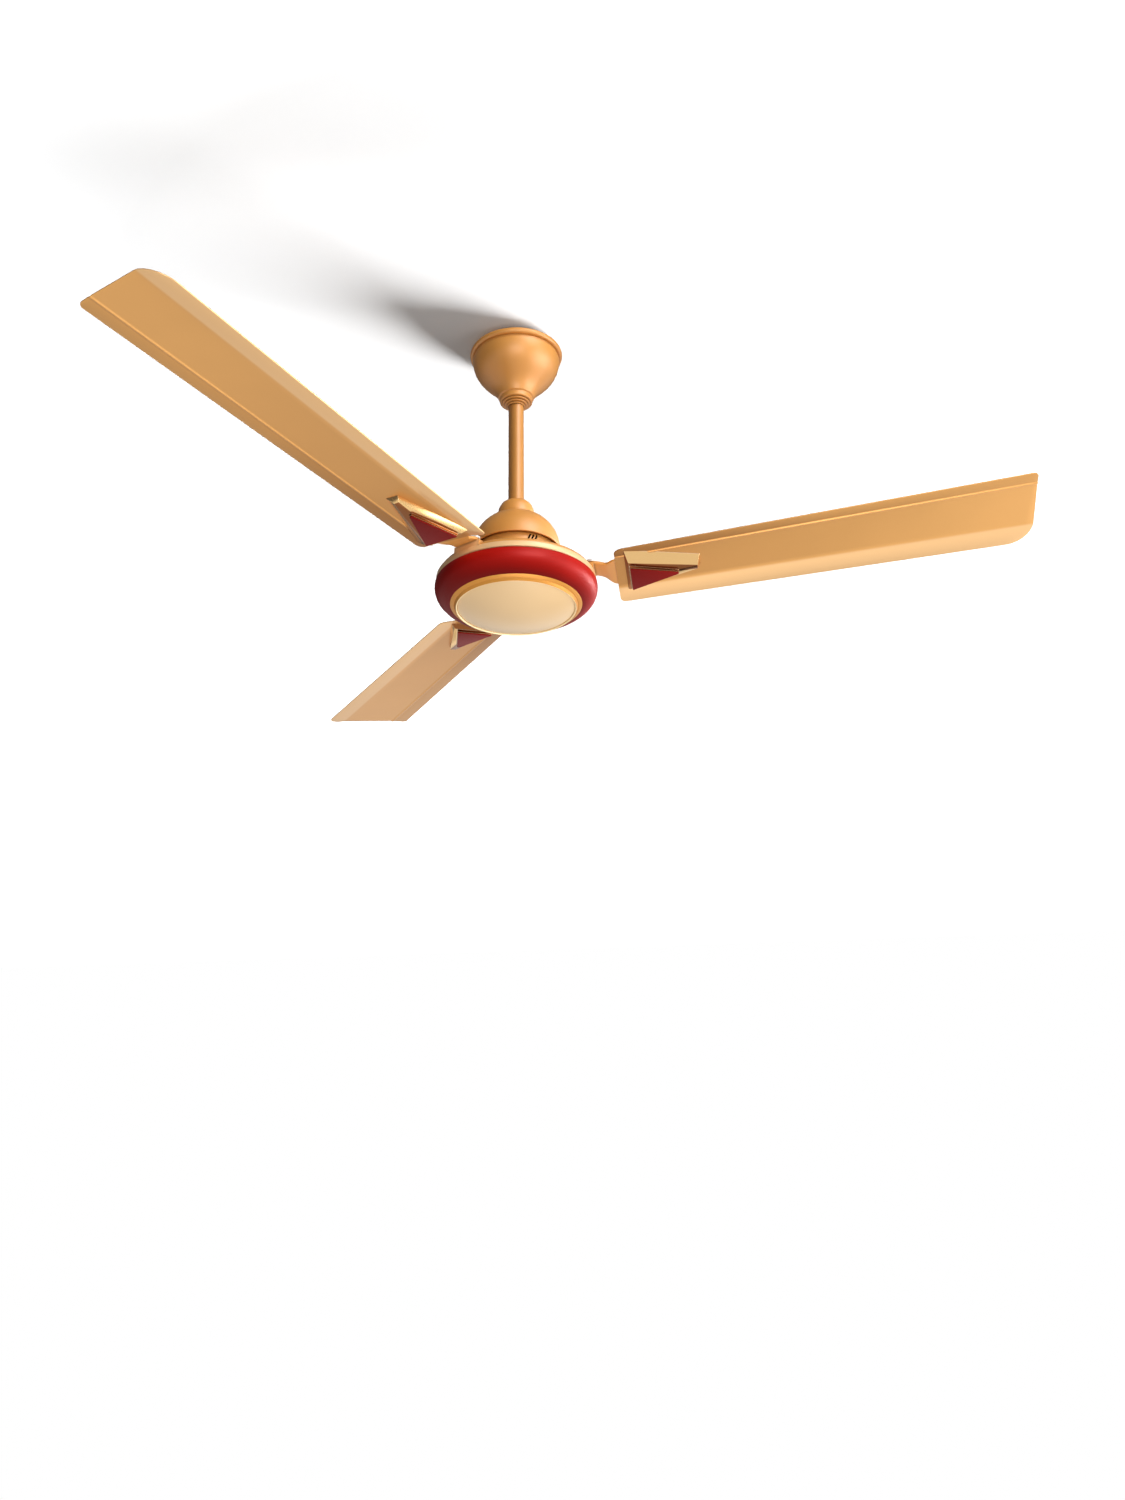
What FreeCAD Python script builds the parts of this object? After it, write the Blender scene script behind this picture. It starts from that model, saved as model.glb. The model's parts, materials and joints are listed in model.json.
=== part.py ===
"""Ceiling fan with three blades, hung from a ceiling hook by a rubber reel.

Lengths are in millimetres, angles in degrees, and +Z is up. The origin is the centre of the
canopy's rim, where it meets the ceiling. Blade 1 points along +X. Drops are measured down from
the rim. The motor hangs from the rod's end, and the cup, the blades and the ring are placed from
the lower face of its flange.
"""
import FreeCAD, Part
import math
import os
from FreeCAD import Placement, Rotation, Vector

# Fits and cuts
overrun = 2.0
sliding_clearance = 0.4
bolt_clearance = 0.15
seat_gap = 0.3
lay_gap = 0.02
curve_steps = 8

# Whole fan
sweep = 1208.0
blade_count = 3
flange_reach = 71.0

# Down rod
rod_diameter = 19.0
rod_wall = 2.0
rod_length = 221.0
rod_top_drop = 42.0
rod_bolt_inset = 8.0

# Rubber reel and shackle
reel_drop = 21.0
reel_flange_diameter = 24.0
reel_core_diameter = 16.0
reel_length = 19.6
reel_flange_width = 3.0
reel_top_gap = 1.0
shackle_thickness = 3.0
shackle_width = 25.0
shackle_tail = 8.0
shackle_corner = 5.0

# Bolts, nuts and split pins of the hanger
bolt_diameter = 6.0
bolt_head_width = 10.0
bolt_head_height = 4.0
nut_height = 5.0
bolt_end = 4.5
pin_wire = 1.4
pin_length = 11.0
pin_eye_diameter = 4.5

# Terminal block on the shackle
terminal_length = 24.0
terminal_height = 13.0
terminal_depth = 9.0
terminal_drop = 27.4
terminal_port_diameter = 3.4
terminal_screw_diameter = 3.0
terminal_screw_proud = 1.0
terminal_count = 3

# Top canopy
canopy_rim_diameter = 118.0
canopy_lip_height = 9.0
canopy_lip_depth = 3.5
canopy_bowl_drop = 63.0
canopy_bowl_lift = 22.0
canopy_wall = 1.6
canopy_neck_diameter = 41.0
canopy_neck_height = 15.0
canopy_neck_foot_diameter = 30.0
canopy_ring_step = 2.5
canopy_ring_width = 3.0
canopy_collar_wall = 3.4
canopy_floor_turn = -80.0

# Lower cup over the coupler
cup_height = 67.0
cup_neck_height = 19.5
cup_neck_diameter = 45.0
cup_neck_brow = 3.0
cup_ledge = 2.0
cup_collar_gap = 2.9
cup_base_lift = 42.0
cup_ellipse_centre_diameter = 14.0
cup_wall = 1.6
cup_lip_height = 3.0
cup_lip_depth = 0.8

# Grub screws that lock the canopy and the cup on the rod
grub_diameter = 4.0
grub_slot_depth = 1.2
grub_slot_width = 0.8

# Shaft coupler
coupler_diameter = 30.0
coupler_length = 40.0
coupler_wire_hole = 10.0
coupler_web = 7.0

# Motor shaft and bearings
journal_diameter = 15.0
shaft_body_diameter = 18.0
shaft_bore = 7.0
bearing_diameter = 35.0
bearing_width = 11.0
race_wall = 3.0
ball_diameter = 6.0
ball_count = 8
ball_clearance = 0.1
cage_wall = 1.6
cage_height = 8.4
shaft_end_gap = 0.5

# Stator and rotor
stack_height = 18.0
stator_diameter = 124.0
tooth_length = 23.0
tooth_count = 14
tooth_width = 8.0
tooth_shoe_depth = 5.0
slot_mouth = 3.0
coil_wall = 3.2
coil_overhang = 4.4
coil_insulation = 0.3
coil_corner = 2.0
air_gap = 0.5
rotor_depth = 17.5
end_ring_width = 7.0
end_ring_height = 3.0

# Motor covers
cover_wall = 4.0
cover_side = 14.0
flange_thickness = 6.0
flange_edge = 2.4
flange_ledge = 2.0
shoulder_rise = 13.0
collar_diameter = 96.0
collar_rise = 27.0
collar_edge = 2.0
winding_ledge = 10.0
winding_room_height = 5.5
boss_wall = 4.5
bottom_flange_width = 7.0
bottom_flange_thickness = 4.0
bottom_wall = 3.0
bottom_edge = 3.0
vent_group_count = 3
vent_slots_per_group = 3
vent_slot_width = 1.7
vent_slot_height = 12.0
vent_slot_pitch = 4.2
vent_slot_lean = 22.0
vent_slot_rise = 7.0
cover_screw_count = 6
cover_screw_diameter = 4.0
cover_screw_inset = 3.0
cover_screw_depth = 4.0
pan_head_share = 1.9
pan_height_share = 0.6

# Foot pads of the blade brackets on the top cover
pad_depth = 10.0
pad_proud = 0.5
pad_width = 36.0
pad_rise = 12.5

# Blade brackets
bracket_thickness = 3.2
foot_inset = 1.0
foot_length = 14.0
foot_width = 32.0
waist_lift = 9.5
waist_reach = 10.0
waist_width = 27.0
blade_end_width = 46.0
blade_end_setback = 4.0
pad_tip_width = 26.0
pad_length = 74.0
bracket_screw_diameter = 5.0
bracket_screw_inset = 6.0
bracket_screw_spacing = 22.0
bracket_screw_depth = 8.0
washer_thickness = 1.2
washer_width = 2.4

# Blades, in the plane of their flat panel
blade_root_reach = 11.0
blade_root_lift = 5.7
blade_pitch = -8.2
blade_rise = 6.34
blade_thickness = 1.2
root_lead_width = 46.5
root_trail_width = 52.0
tip_lead_width = 63.5
tip_trail_width = 61.0
tip_slant = 8.0
lead_drop = 1.0
bead_height = 1.3
bead_width = 4.0
bead_share = 0.145
flap_share = 0.235
flap_drop = 4.4
tip_lead_corner = 8.0
tip_trail_corner = 30.0
root_lead_corner = 10.0
root_trail_corner = 7.0

# Blade screws and nuts, in the same plane
blade_screw_diameter = 4.0
blade_screw_reach = 22.0
blade_screw_spacing = 22.0
blade_screw_far_reach = 54.0
blade_nut_width = 7.0
blade_nut_height = 3.2

# Raised trim under each blade, and its inlay
trim_root_gap = 10.0
trim_lead_width = 43.0
trim_trail_width = 34.0
trim_length = 88.0
trim_tip_width = 18.0
trim_tip_offset = -4.0
trim_lead_height = 12.0
trim_trail_height = 8.0
trim_tip_height = 8.0
trim_root_draft = 2.0
trim_lead_draft = 16.0
trim_trail_draft = 6.0
trim_tip_draft = 4.0
trim_tip_face_width = 7.0
trim_tip_face_offset = 2.0
trim_wall = 2.0
trim_corner = 2.0
inlay_root_gap = 4.5
inlay_length = 56.5
inlay_lead_width = 23.5
inlay_trail_width = 24.7
inlay_tip_width = 3.0
inlay_tip_offset = 2.8
inlay_thickness = 2.6
inlay_proud = 0.9
inlay_gap = 0.2
inlay_edge = 0.8

# Trim ring, bezel and cap under the motor
ring_proud = 1.4
ring_middle_drop = 7.5
ring_half_width = 23.4
ring_half_height = 21.0
ring_wall = 2.5
ring_mouth_reach = 5.0
ring_plate_thickness = 3.0
ring_plate_width = 18.0
ring_screw_count = 3
ring_screw_diameter = 4.0
ring_screw_inset = 5.0
ring_screw_depth = 2.6
bezel_width = 8.5
bezel_drop = 4.0
bezel_lip = 1.6
bezel_spigot_inset = 4.0
bezel_spigot_wall = 2.0
cap_bulge = 15.0
cap_wall = 2.0
cap_skirt_inset = 1.4

# Run capacitor and its clip, beside the coupler
capacitor_length = 34.0
capacitor_width = 14.0
capacitor_height = 22.0
capacitor_edge = 1.6
capacitor_lift = 4.0
clip_thickness = 1.2
clip_width = 10.0
clip_screw_diameter = 3.0

# Places worked out from the sizes above
rod_radius = rod_diameter / 2
slide_bore = rod_radius + sliding_clearance
rod_bottom_drop = rod_top_drop + rod_length
flange_drop = rod_bottom_drop + flange_reach
cup_base_drop = flange_drop - cup_base_lift
cup_top_drop = cup_base_drop - cup_height
rod_bolt_drop = rod_top_drop + rod_bolt_inset
coupler_bolt_drop = rod_bottom_drop - rod_bolt_inset
leg_inner = reel_length / 2 + seat_gap
leg_outer = leg_inner + shackle_thickness
coupler_top_drop = cup_top_drop + cup_neck_height + seat_gap
coupler_bottom_drop = coupler_top_drop + coupler_length
shaft_top_drop = rod_bottom_drop + coupler_web
clip_z = capacitor_lift + capacitor_height / 2 - coupler_bottom_drop
cup_base_radius = collar_diameter / 2 + cup_collar_gap + cup_wall
boss_radius = bearing_diameter / 2 + boss_wall
yoke_radius = stator_diameter / 2 - tooth_shoe_depth - tooth_length
rotor_radius = stator_diameter / 2 + air_gap + rotor_depth
winding_room_radius = rotor_radius - winding_ledge
flange_radius = rotor_radius + cover_side
shoulder_radius = flange_radius - flange_ledge
bottom_cup_radius = rotor_radius + bottom_wall
bottom_flange_radius = bottom_cup_radius + bottom_flange_width
cover_screw_radius = bottom_flange_radius - cover_screw_inset
pad_start = shoulder_radius - pad_depth
foot_start = pad_start + foot_inset
foot_end = foot_start + foot_length
bracket_screw_radius = foot_start + bracket_screw_inset
waist_radius = foot_end + waist_reach
blade_root_radius = waist_radius + blade_root_reach
ring_centre_radius = flange_radius + ring_proud - ring_half_width
ring_mouth_radius = ring_centre_radius + ring_mouth_reach
ring_bore_radius = ring_centre_radius - ring_plate_width
ring_screw_radius = ring_bore_radius + ring_screw_inset
bezel_radius = ring_mouth_radius - bezel_width
bezel_spigot_radius = ring_mouth_radius - bezel_spigot_inset
flange_z = -flange_drop
flange_top_z = flange_z + flange_thickness
shoulder_top_z = flange_top_z + shoulder_rise
collar_top_z = shoulder_top_z + collar_rise
stack_top_z = flange_z + stack_height / 2
stack_bottom_z = flange_z - stack_height / 2
room_top_z = stack_top_z + winding_room_height
room_bottom_z = stack_bottom_z - winding_room_height
cover_bottom_z = room_bottom_z - cover_wall
upper_bearing_top_z = collar_top_z - cover_wall
upper_bearing_bottom_z = upper_bearing_top_z - bearing_width
lower_bearing_top_z = room_bottom_z + cover_wall / 2
lower_bearing_bottom_z = lower_bearing_top_z - bearing_width
boss_bottom_z = lower_bearing_bottom_z - cover_wall / 2
ball_circle = (journal_diameter + bearing_diameter) / 4
pad_z = flange_z + pad_rise
ring_plate_z = cover_bottom_z - ring_plate_thickness
ring_centre_z = flange_z - ring_middle_drop
blade_length = (sweep / 2 - blade_root_radius) / math.cos(math.radians(blade_rise))
blade_top = blade_thickness / 2
arm_under = blade_top + lay_gap
arm_top = arm_under + bracket_thickness
blade_turn = 360.0 / blade_count
up = Vector(0, 0, 1)


def at(radius, z):
    """A point of a lathe outline."""
    return Vector(radius, 0, z)


def closed_wire(steps):
    """Join points by straight lines, and lists of points by smooth curves, into a closed wire."""
    edges = []
    here = steps[0]
    for step in steps[1:] + steps[:1]:
        if isinstance(step, list):
            curve = Part.BSplineCurve()
            curve.interpolate([here] + step)
            edges.append(curve.toShape())
            here = step[-1]
        else:
            edges.append(Part.LineSegment(here, step).toShape())
            here = step
    return Part.Wire(edges)


def ellipse(radius, z, half_width, half_height, start, end):
    """Points on an ellipse's arc in a lathe outline, the first one included."""
    turns = [start + (end - start) * step / curve_steps for step in range(curve_steps + 1)]
    return [at(radius + half_width * math.cos(math.radians(turn)),
               z + half_height * math.sin(math.radians(turn))) for turn in turns]


def lathe(steps):
    """Turn an outline about the fan's axis."""
    return Part.Face(closed_wire(steps)).revolve(Vector(), up, 360)


def tube(outer, inner, low, high):
    """An upright ring between two heights."""
    ring = Part.makeCylinder(outer, high - low, at(0, low))
    return ring.cut(Part.makeCylinder(inner, high - low + 2 * overrun, at(0, low - overrun)))


def block(x_low, x_high, y_low, y_high, z_low, z_high):
    """A box between two corners."""
    return Part.makeBox(x_high - x_low, y_high - y_low, z_high - z_low, Vector(x_low, y_low, z_low))


def prism(points, height):
    """Raise a polygon along +Z."""
    return Part.Face(closed_wire(points)).extrude(up * height)


def hexagon(width, height):
    """A hexagonal prism on the origin, given across its flats."""
    radius = width / math.sqrt(3)
    turns = [math.radians(60 * corner) for corner in range(6)]
    return prism([Vector(radius * math.cos(turn), radius * math.sin(turn), 0) for turn in turns], height)


def pan_screw(diameter, length):
    """A pan-head screw standing on the origin, shank down."""
    head = diameter * pan_head_share / 2
    height = diameter * pan_height_share
    shank = diameter / 2
    crown = ellipse(0, height / 3, head, height * 2 / 3, 0, 90)
    outline = [at(0, -length), at(shank, -length), at(shank, 0), at(head, 0), crown[0], crown[1:]]
    slot = block(-head, head, -shank / 4, shank / 4, height * 2 / 3, height + overrun)
    return lathe(outline).cut(slot)


def placed(shape, origin, turn=None):
    """A copy of a shape at a place, turned first if asked."""
    copy = shape.copy()
    copy.Placement = Placement(origin, turn or Rotation()).multiply(copy.Placement)
    return copy


def around(shape, count, start=0.0):
    """Copies of a shape spaced evenly about the fan's axis."""
    turns = [Rotation(up, start + 360.0 * index / count) for index in range(count)]
    return [placed(shape, Vector(), turn) for turn in turns]


def cut_all(shape, tools):
    """Cut a list of tools from a shape."""
    return shape.cut(Part.makeCompound(tools))


def cross_hole(radius, drop):
    """A cutting cylinder along X through everything on the axis."""
    reach = canopy_rim_diameter
    return Part.makeCylinder(radius, 2 * reach, Vector(-reach, 0, -drop), Vector(1, 0, 0))


def blade_place(index):
    """The plane of a blade's flat panel: x outward from its root, y to the trailing edge, z up."""
    turn = Rotation(up, blade_turn * index)
    tilt = Rotation(Vector(0, 1, 0), -blade_rise).multiply(Rotation(Vector(1, 0, 0), blade_pitch))
    root = at(blade_root_radius, flange_z + blade_root_lift)
    return Placement(Vector(), turn).multiply(Placement(root, tilt))


def on_blade(shape, index):
    """A copy of a shape moved from the blade's plane to its place."""
    copy = shape.copy()
    copy.Placement = blade_place(index).multiply(copy.Placement)
    return copy


def hanger_reel():
    """Rubber reel that sits on the ceiling hook, its axis along X."""
    half = reel_length / 2
    core = reel_core_diameter / 2
    flange = reel_flange_diameter / 2
    bore = bolt_diameter / 2 + bolt_clearance
    waist = half - reel_flange_width
    slope = waist - (flange - core)
    reel = lathe([at(bore, -half), at(flange, -half), at(flange, -waist), at(core, -slope),
                  at(core, slope), at(flange, waist), at(flange, half), at(bore, half)])
    return placed(reel, at(0, -reel_drop), Rotation(Vector(0, 1, 0), 90))


def shackle():
    """Bent steel strap that carries the reel bolt above and the down rod below."""
    crown = -reel_drop + reel_flange_diameter / 2 + reel_top_gap
    tail = -rod_bolt_drop - shackle_tail
    half = shackle_width / 2
    strap = block(-leg_outer, leg_outer, -half, half, tail, crown + shackle_thickness)
    strap = strap.cut(block(-leg_inner, leg_inner, -half - overrun, half + overrun, tail - overrun, crown))
    corners = [edge for edge in strap.Edges
               if abs(abs(edge.CenterOfMass.x) - leg_outer) < shackle_thickness / 4
               and edge.CenterOfMass.z > crown and abs(edge.CenterOfMass.y) < half / 2]
    strap = strap.makeFillet(shackle_corner, corners)
    hole = bolt_diameter / 2 + bolt_clearance
    return cut_all(strap, [cross_hole(hole, reel_drop), cross_hole(hole, rod_bolt_drop)])


def cross_bolt(half_grip, drop, pinned):
    """A hexagon bolt along X whose grip ends at half_grip, with a pin hole if it is pinned."""
    length = 2 * half_grip + nut_height + bolt_end
    shank = Part.makeCylinder(bolt_diameter / 2, length, Vector(-half_grip, 0, -drop), Vector(1, 0, 0))
    head = placed(hexagon(bolt_head_width, bolt_head_height), Vector(-half_grip, 0, -drop),
                  Rotation(Vector(0, 1, 0), -90))
    bolt = shank.fuse(head)
    if pinned:
        radius = pin_wire / 2 + bolt_clearance
        hole = Part.makeCylinder(radius, bolt_diameter + 2 * overrun,
                                 Vector(pin_station(half_grip), 0, -drop - bolt_diameter / 2 - overrun))
        bolt = bolt.cut(hole)
    return bolt.removeSplitter()


def pin_station(half_grip):
    """How far along X a split pin crosses its bolt."""
    return half_grip + nut_height + bolt_end / 2


def cross_nut(half_grip, drop):
    """The nut of a cross bolt."""
    nut = hexagon(bolt_head_width, nut_height)
    nut = nut.cut(Part.makeCylinder(bolt_diameter / 2, nut_height + 2 * overrun, at(0, -overrun)))
    return placed(nut, Vector(half_grip, 0, -drop), Rotation(Vector(0, 1, 0), 90))


def split_pin(half_grip, drop):
    """A split pin hanging through the end of a cross bolt, with its eye on top."""
    x = pin_station(half_grip)
    top = -drop + bolt_diameter / 2 + bolt_clearance
    leg = Part.makeCylinder(pin_wire / 2, pin_length + pin_wire / 2, Vector(x, 0, top - pin_length))
    ring = (pin_eye_diameter - pin_wire) / 2
    eye = Part.makeTorus(ring, pin_wire / 2, Vector(x, 0, top + ring + pin_wire / 2), Vector(1, 0, 0))
    return leg.fuse(eye)


def down_rod():
    """Steel tube from the shackle to the coupler."""
    rod = tube(rod_radius, rod_radius - rod_wall, -rod_bottom_drop, -rod_top_drop)
    hole = bolt_diameter / 2 + bolt_clearance
    return cut_all(rod, [cross_hole(hole, rod_bolt_drop), cross_hole(hole, coupler_bolt_drop)])


def terminal_parts():
    """Terminal block on one leg of the shackle, and its screws."""
    low = -terminal_drop - terminal_height
    half = terminal_length / 2
    body = block(leg_outer, leg_outer + terminal_depth, -half, half, low, -terminal_drop)
    pitch = terminal_length / terminal_count
    port = terminal_port_diameter / 2
    screws = []
    for index in range(terminal_count):
        y = (index - (terminal_count - 1) / 2) * pitch
        middle = Vector(leg_outer + terminal_depth / 2, y, low - overrun)
        body = body.cut(Part.makeCylinder(port, terminal_height + 2 * overrun, middle))
        seat = Vector(leg_outer + terminal_depth - port / 2, y, low + terminal_height / 2)
        body = body.cut(Part.makeCylinder(terminal_screw_diameter / 2, terminal_depth, seat, Vector(1, 0, 0)))
        screws.append(Part.makeCylinder(terminal_screw_diameter / 2, port / 2 + terminal_screw_proud,
                                        seat, Vector(1, 0, 0)))
    return body, screws


def grub_hole(drop, length):
    """A tapped hole along Y from the rod outward, for a grub screw."""
    return Part.makeCylinder(grub_diameter / 2, length, at(0, -drop), Vector(0, 1, 0))


def grub_screw(drop, outer):
    """A slotted grub screw along Y, from just clear of the rod out to a radius."""
    start = rod_radius + seat_gap
    screw = Part.makeCylinder(grub_diameter / 2, outer - start, Vector(0, start, -drop), Vector(0, 1, 0))
    half = grub_slot_width / 2
    slot = block(-half, half, outer - grub_slot_depth, outer + overrun,
                 -drop - grub_diameter, -drop + grub_diameter)
    return screw.cut(slot)


def canopy_grub_drop():
    """Height of the canopy's grub screw, in the straight part of its neck."""
    return canopy_bowl_drop + canopy_neck_height / 3


def top_canopy():
    """Bell-shaped cover over the hook and the shackle."""
    rim = canopy_rim_diameter / 2
    lip = rim - canopy_lip_depth
    neck = canopy_neck_diameter / 2
    foot = canopy_neck_foot_diameter / 2
    bowl = canopy_bowl_drop + canopy_bowl_lift
    neck_z = -canopy_bowl_drop - canopy_neck_height
    start = -math.degrees(math.asin((canopy_lip_height + canopy_bowl_lift) / bowl))
    spread = (lip - neck) / math.cos(math.radians(start))
    outer = ellipse(neck, canopy_bowl_lift, spread, bowl, start, -90)
    edge = ellipse(lip, -canopy_lip_height / 2, canopy_lip_depth, canopy_lip_height / 2, 90, -90)
    inner = ellipse(neck, canopy_bowl_lift, spread - canopy_wall, bowl - canopy_wall,
                    canopy_floor_turn, start)
    turn_in = ellipse(foot, -canopy_bowl_drop - canopy_neck_height / 2, neck - foot,
                      canopy_neck_height / 2, 0, -90)
    first = foot - canopy_ring_width
    second = first - canopy_ring_width / 2
    collar = slide_bore + canopy_collar_wall
    outline = [at(inner[-1].x, 0), edge[0], edge[1:], outer[1:], turn_in[0], turn_in[1:],
               at(first, neck_z), at(first, neck_z - canopy_ring_step), at(second, neck_z - canopy_ring_step),
               at(second, neck_z - 2 * canopy_ring_step), at(slide_bore, neck_z - 2 * canopy_ring_step),
               at(slide_bore, inner[0].z), at(collar, inner[0].z), inner[0], inner[1:]]
    return lathe(outline).cut(grub_hole(canopy_grub_drop(), rim))


def cup_grub_drop():
    """Height of the cup's grub screw, in the lower half of its neck."""
    return cup_top_drop + cup_neck_height * 2 / 3


def lower_cup():
    """Domed cover over the coupler, sliding on the rod."""
    base = cup_base_radius
    centre = cup_ellipse_centre_diameter / 2
    neck = cup_neck_diameter / 2
    ledge = neck + cup_ledge
    neck_z = -cup_top_drop - cup_neck_height
    start = math.degrees(math.acos((ledge - centre) / (base - centre)))
    height = (cup_base_drop - cup_top_drop - cup_neck_height - cup_ledge) / math.sin(math.radians(start))
    brow = slide_bore + cup_neck_brow
    crown = ellipse(brow, neck_z, neck - brow, cup_neck_height, 90, 0)
    outer = ellipse(centre, -cup_base_drop, base - centre, height, start, 0)
    inner = ellipse(centre, -cup_base_drop, base - centre - cup_wall, height - cup_wall, 0, start)
    lip = base + cup_lip_depth
    outline = [at(slide_bore, -cup_top_drop), crown[0], crown[1:], at(ledge, neck_z), outer[0], outer[1:],
               at(lip, -cup_base_drop), at(lip, -cup_base_drop - cup_lip_height),
               at(base - cup_wall, -cup_base_drop - cup_lip_height), inner[0], inner[1:],
               at(inner[-1].x, neck_z), at(slide_bore, neck_z)]
    return lathe(outline).cut(grub_hole(cup_grub_drop(), base))


def shaft_coupler():
    """Steel sleeve screwed on the shaft's top, into which the rod is bolted."""
    body = Part.makeCylinder(coupler_diameter / 2, coupler_length, at(0, -coupler_bottom_drop))
    socket = Part.makeCylinder(rod_radius + bolt_clearance, coupler_length, at(0, -rod_bottom_drop))
    wire_hole = Part.makeCylinder(coupler_wire_hole / 2, coupler_length, at(0, -coupler_bottom_drop))
    thread = Part.makeCylinder(journal_diameter / 2, coupler_bottom_drop - shaft_top_drop + overrun,
                               at(0, -coupler_bottom_drop - overrun))
    bolt_hole = cross_hole(bolt_diameter / 2 + bolt_clearance, coupler_bolt_drop)
    clip_hole = Part.makeCylinder(clip_screw_diameter / 2, coupler_diameter, at(0, clip_z), Vector(0, 1, 0))
    return cut_all(body, [socket, wire_hole, thread, bolt_hole, clip_hole])


def motor_shaft():
    """Fixed hollow shaft: journals at both bearings and a thicker body between them."""
    journal = journal_diameter / 2
    body = shaft_body_diameter / 2
    bore = shaft_bore / 2
    low = lower_bearing_bottom_z + shaft_end_gap
    return lathe([at(bore, low), at(journal, low), at(journal, lower_bearing_top_z),
                  at(body, lower_bearing_top_z), at(body, upper_bearing_bottom_z),
                  at(journal, upper_bearing_bottom_z),
                  at(journal, -shaft_top_drop), at(bore, -shaft_top_drop)])


def stator_slot():
    """Cutting shape of the slot between two teeth, from the yoke to the mouth."""
    yoke = yoke_radius
    shoe = stator_diameter / 2 - tooth_shoe_depth
    half_turn = math.pi / tooth_count
    inner = yoke * math.sin(half_turn) - tooth_width / 2
    outer = shoe * math.sin(half_turn) - tooth_width / 2
    mouth = slot_mouth / 2
    past = stator_diameter / 2 + overrun
    points = [Vector(yoke, -inner, 0), Vector(shoe, -outer, 0), Vector(shoe, -mouth, 0),
              Vector(past, -mouth, 0), Vector(past, mouth, 0), Vector(shoe, mouth, 0),
              Vector(shoe, outer, 0), Vector(yoke, inner, 0)]
    slot = prism(points, stack_height + 2 * overrun)
    return placed(slot, at(0, stack_bottom_z - overrun))


def stator_core():
    """Laminated stator on the fixed shaft."""
    core = tube(stator_diameter / 2, shaft_body_diameter / 2, stack_bottom_z, stack_top_z)
    return cut_all(core, around(stator_slot(), tooth_count, 180.0 / tooth_count))


def stator_coils():
    """One wound coil on each tooth."""
    start = yoke_radius + 2 * coil_wall
    end = stator_diameter / 2 - tooth_shoe_depth - coil_insulation
    half = tooth_width / 2 + coil_insulation
    low = stack_bottom_z - coil_insulation
    high = stack_top_z + coil_insulation
    wide = half + coil_wall
    coil = block(start, end, -wide, wide, stack_bottom_z - coil_overhang, stack_top_z + coil_overhang)
    edges = [edge for edge in coil.Edges if abs(edge.CenterOfMass.x - (start + end) / 2) < coil_insulation]
    coil = coil.makeFillet(coil_corner, edges)
    coil = coil.cut(block(start - overrun, end + overrun, -half, half, low, high))
    return around(coil, tooth_count)


def rotor_core():
    """Laminated ring that turns outside the stator."""
    return tube(rotor_radius, stator_diameter / 2 + air_gap, stack_bottom_z, stack_top_z)


def rotor_end_rings():
    """Cast end rings of the rotor's cage, above and below the laminations."""
    inner = stator_diameter / 2 + air_gap
    outer = inner + end_ring_width
    return [tube(outer, inner, stack_top_z, stack_top_z + end_ring_height),
            tube(outer, inner, stack_bottom_z - end_ring_height, stack_bottom_z)]


def ball_groove(low):
    """Cutting ring for the groove of both races."""
    return Part.makeTorus(ball_circle, ball_diameter / 2 + ball_clearance, at(0, low + bearing_width / 2))


def inner_race(low):
    """Inner race of a ball bearing, grooved for the balls."""
    inner = journal_diameter / 2
    race = tube(inner + race_wall, inner, low, low + bearing_width)
    return race.cut(ball_groove(low))


def outer_race(low):
    """Outer race of a ball bearing, grooved for the balls."""
    outer = bearing_diameter / 2
    race = tube(outer, outer - race_wall, low, low + bearing_width)
    return race.cut(ball_groove(low))


def balls(low):
    """Balls of a bearing."""
    ball = Part.makeSphere(ball_diameter / 2, at(ball_circle, low + bearing_width / 2))
    return around(ball, ball_count)


def ball_cage(low):
    """Cage that spaces the balls of a bearing."""
    middle = low + bearing_width / 2
    half = cage_wall / 2
    ring = tube(ball_circle + half, ball_circle - half, middle - cage_height / 2, middle + cage_height / 2)
    pocket = Part.makeCylinder(ball_diameter / 2 + ball_clearance, cage_wall * 4,
                               at(ball_circle - cage_wall * 2, middle), Vector(1, 0, 0))
    return cut_all(ring, around(pocket, ball_count))


def vent_slots():
    """Leaning slots through the collar, in groups midway between the blades."""
    height = vent_slot_height
    half = vent_slot_width / 2
    radius = collar_diameter / 2
    slot = block(radius - 2 * cover_wall, radius + overrun, -half, half, -height / 2, height / 2)
    slot = placed(slot, Vector(), Rotation(Vector(1, 0, 0), vent_slot_lean))
    slots = []
    for index in range(vent_slots_per_group):
        step = math.degrees(vent_slot_pitch / radius) * (index - (vent_slots_per_group - 1) / 2)
        lifted = placed(slot, at(0, shoulder_top_z + vent_slot_rise + height / 2))
        slots += around(lifted, vent_group_count, step + blade_turn / 2)
    return slots


def bracket_screw_places():
    """Where the foot screws of the first bracket stand, in plan."""
    half = bracket_screw_spacing / 2
    return [Vector(bracket_screw_radius, -half, 0), Vector(bracket_screw_radius, half, 0)]


def cover_screw_places():
    """Where the screws through both covers stand, in plan, clear of the brackets."""
    place = Vector(cover_screw_radius, 0, 0)
    turns = [Rotation(up, 360.0 * (index + 0.5) / cover_screw_count) for index in range(cover_screw_count)]
    return [turn.multVec(place) for turn in turns]


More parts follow.
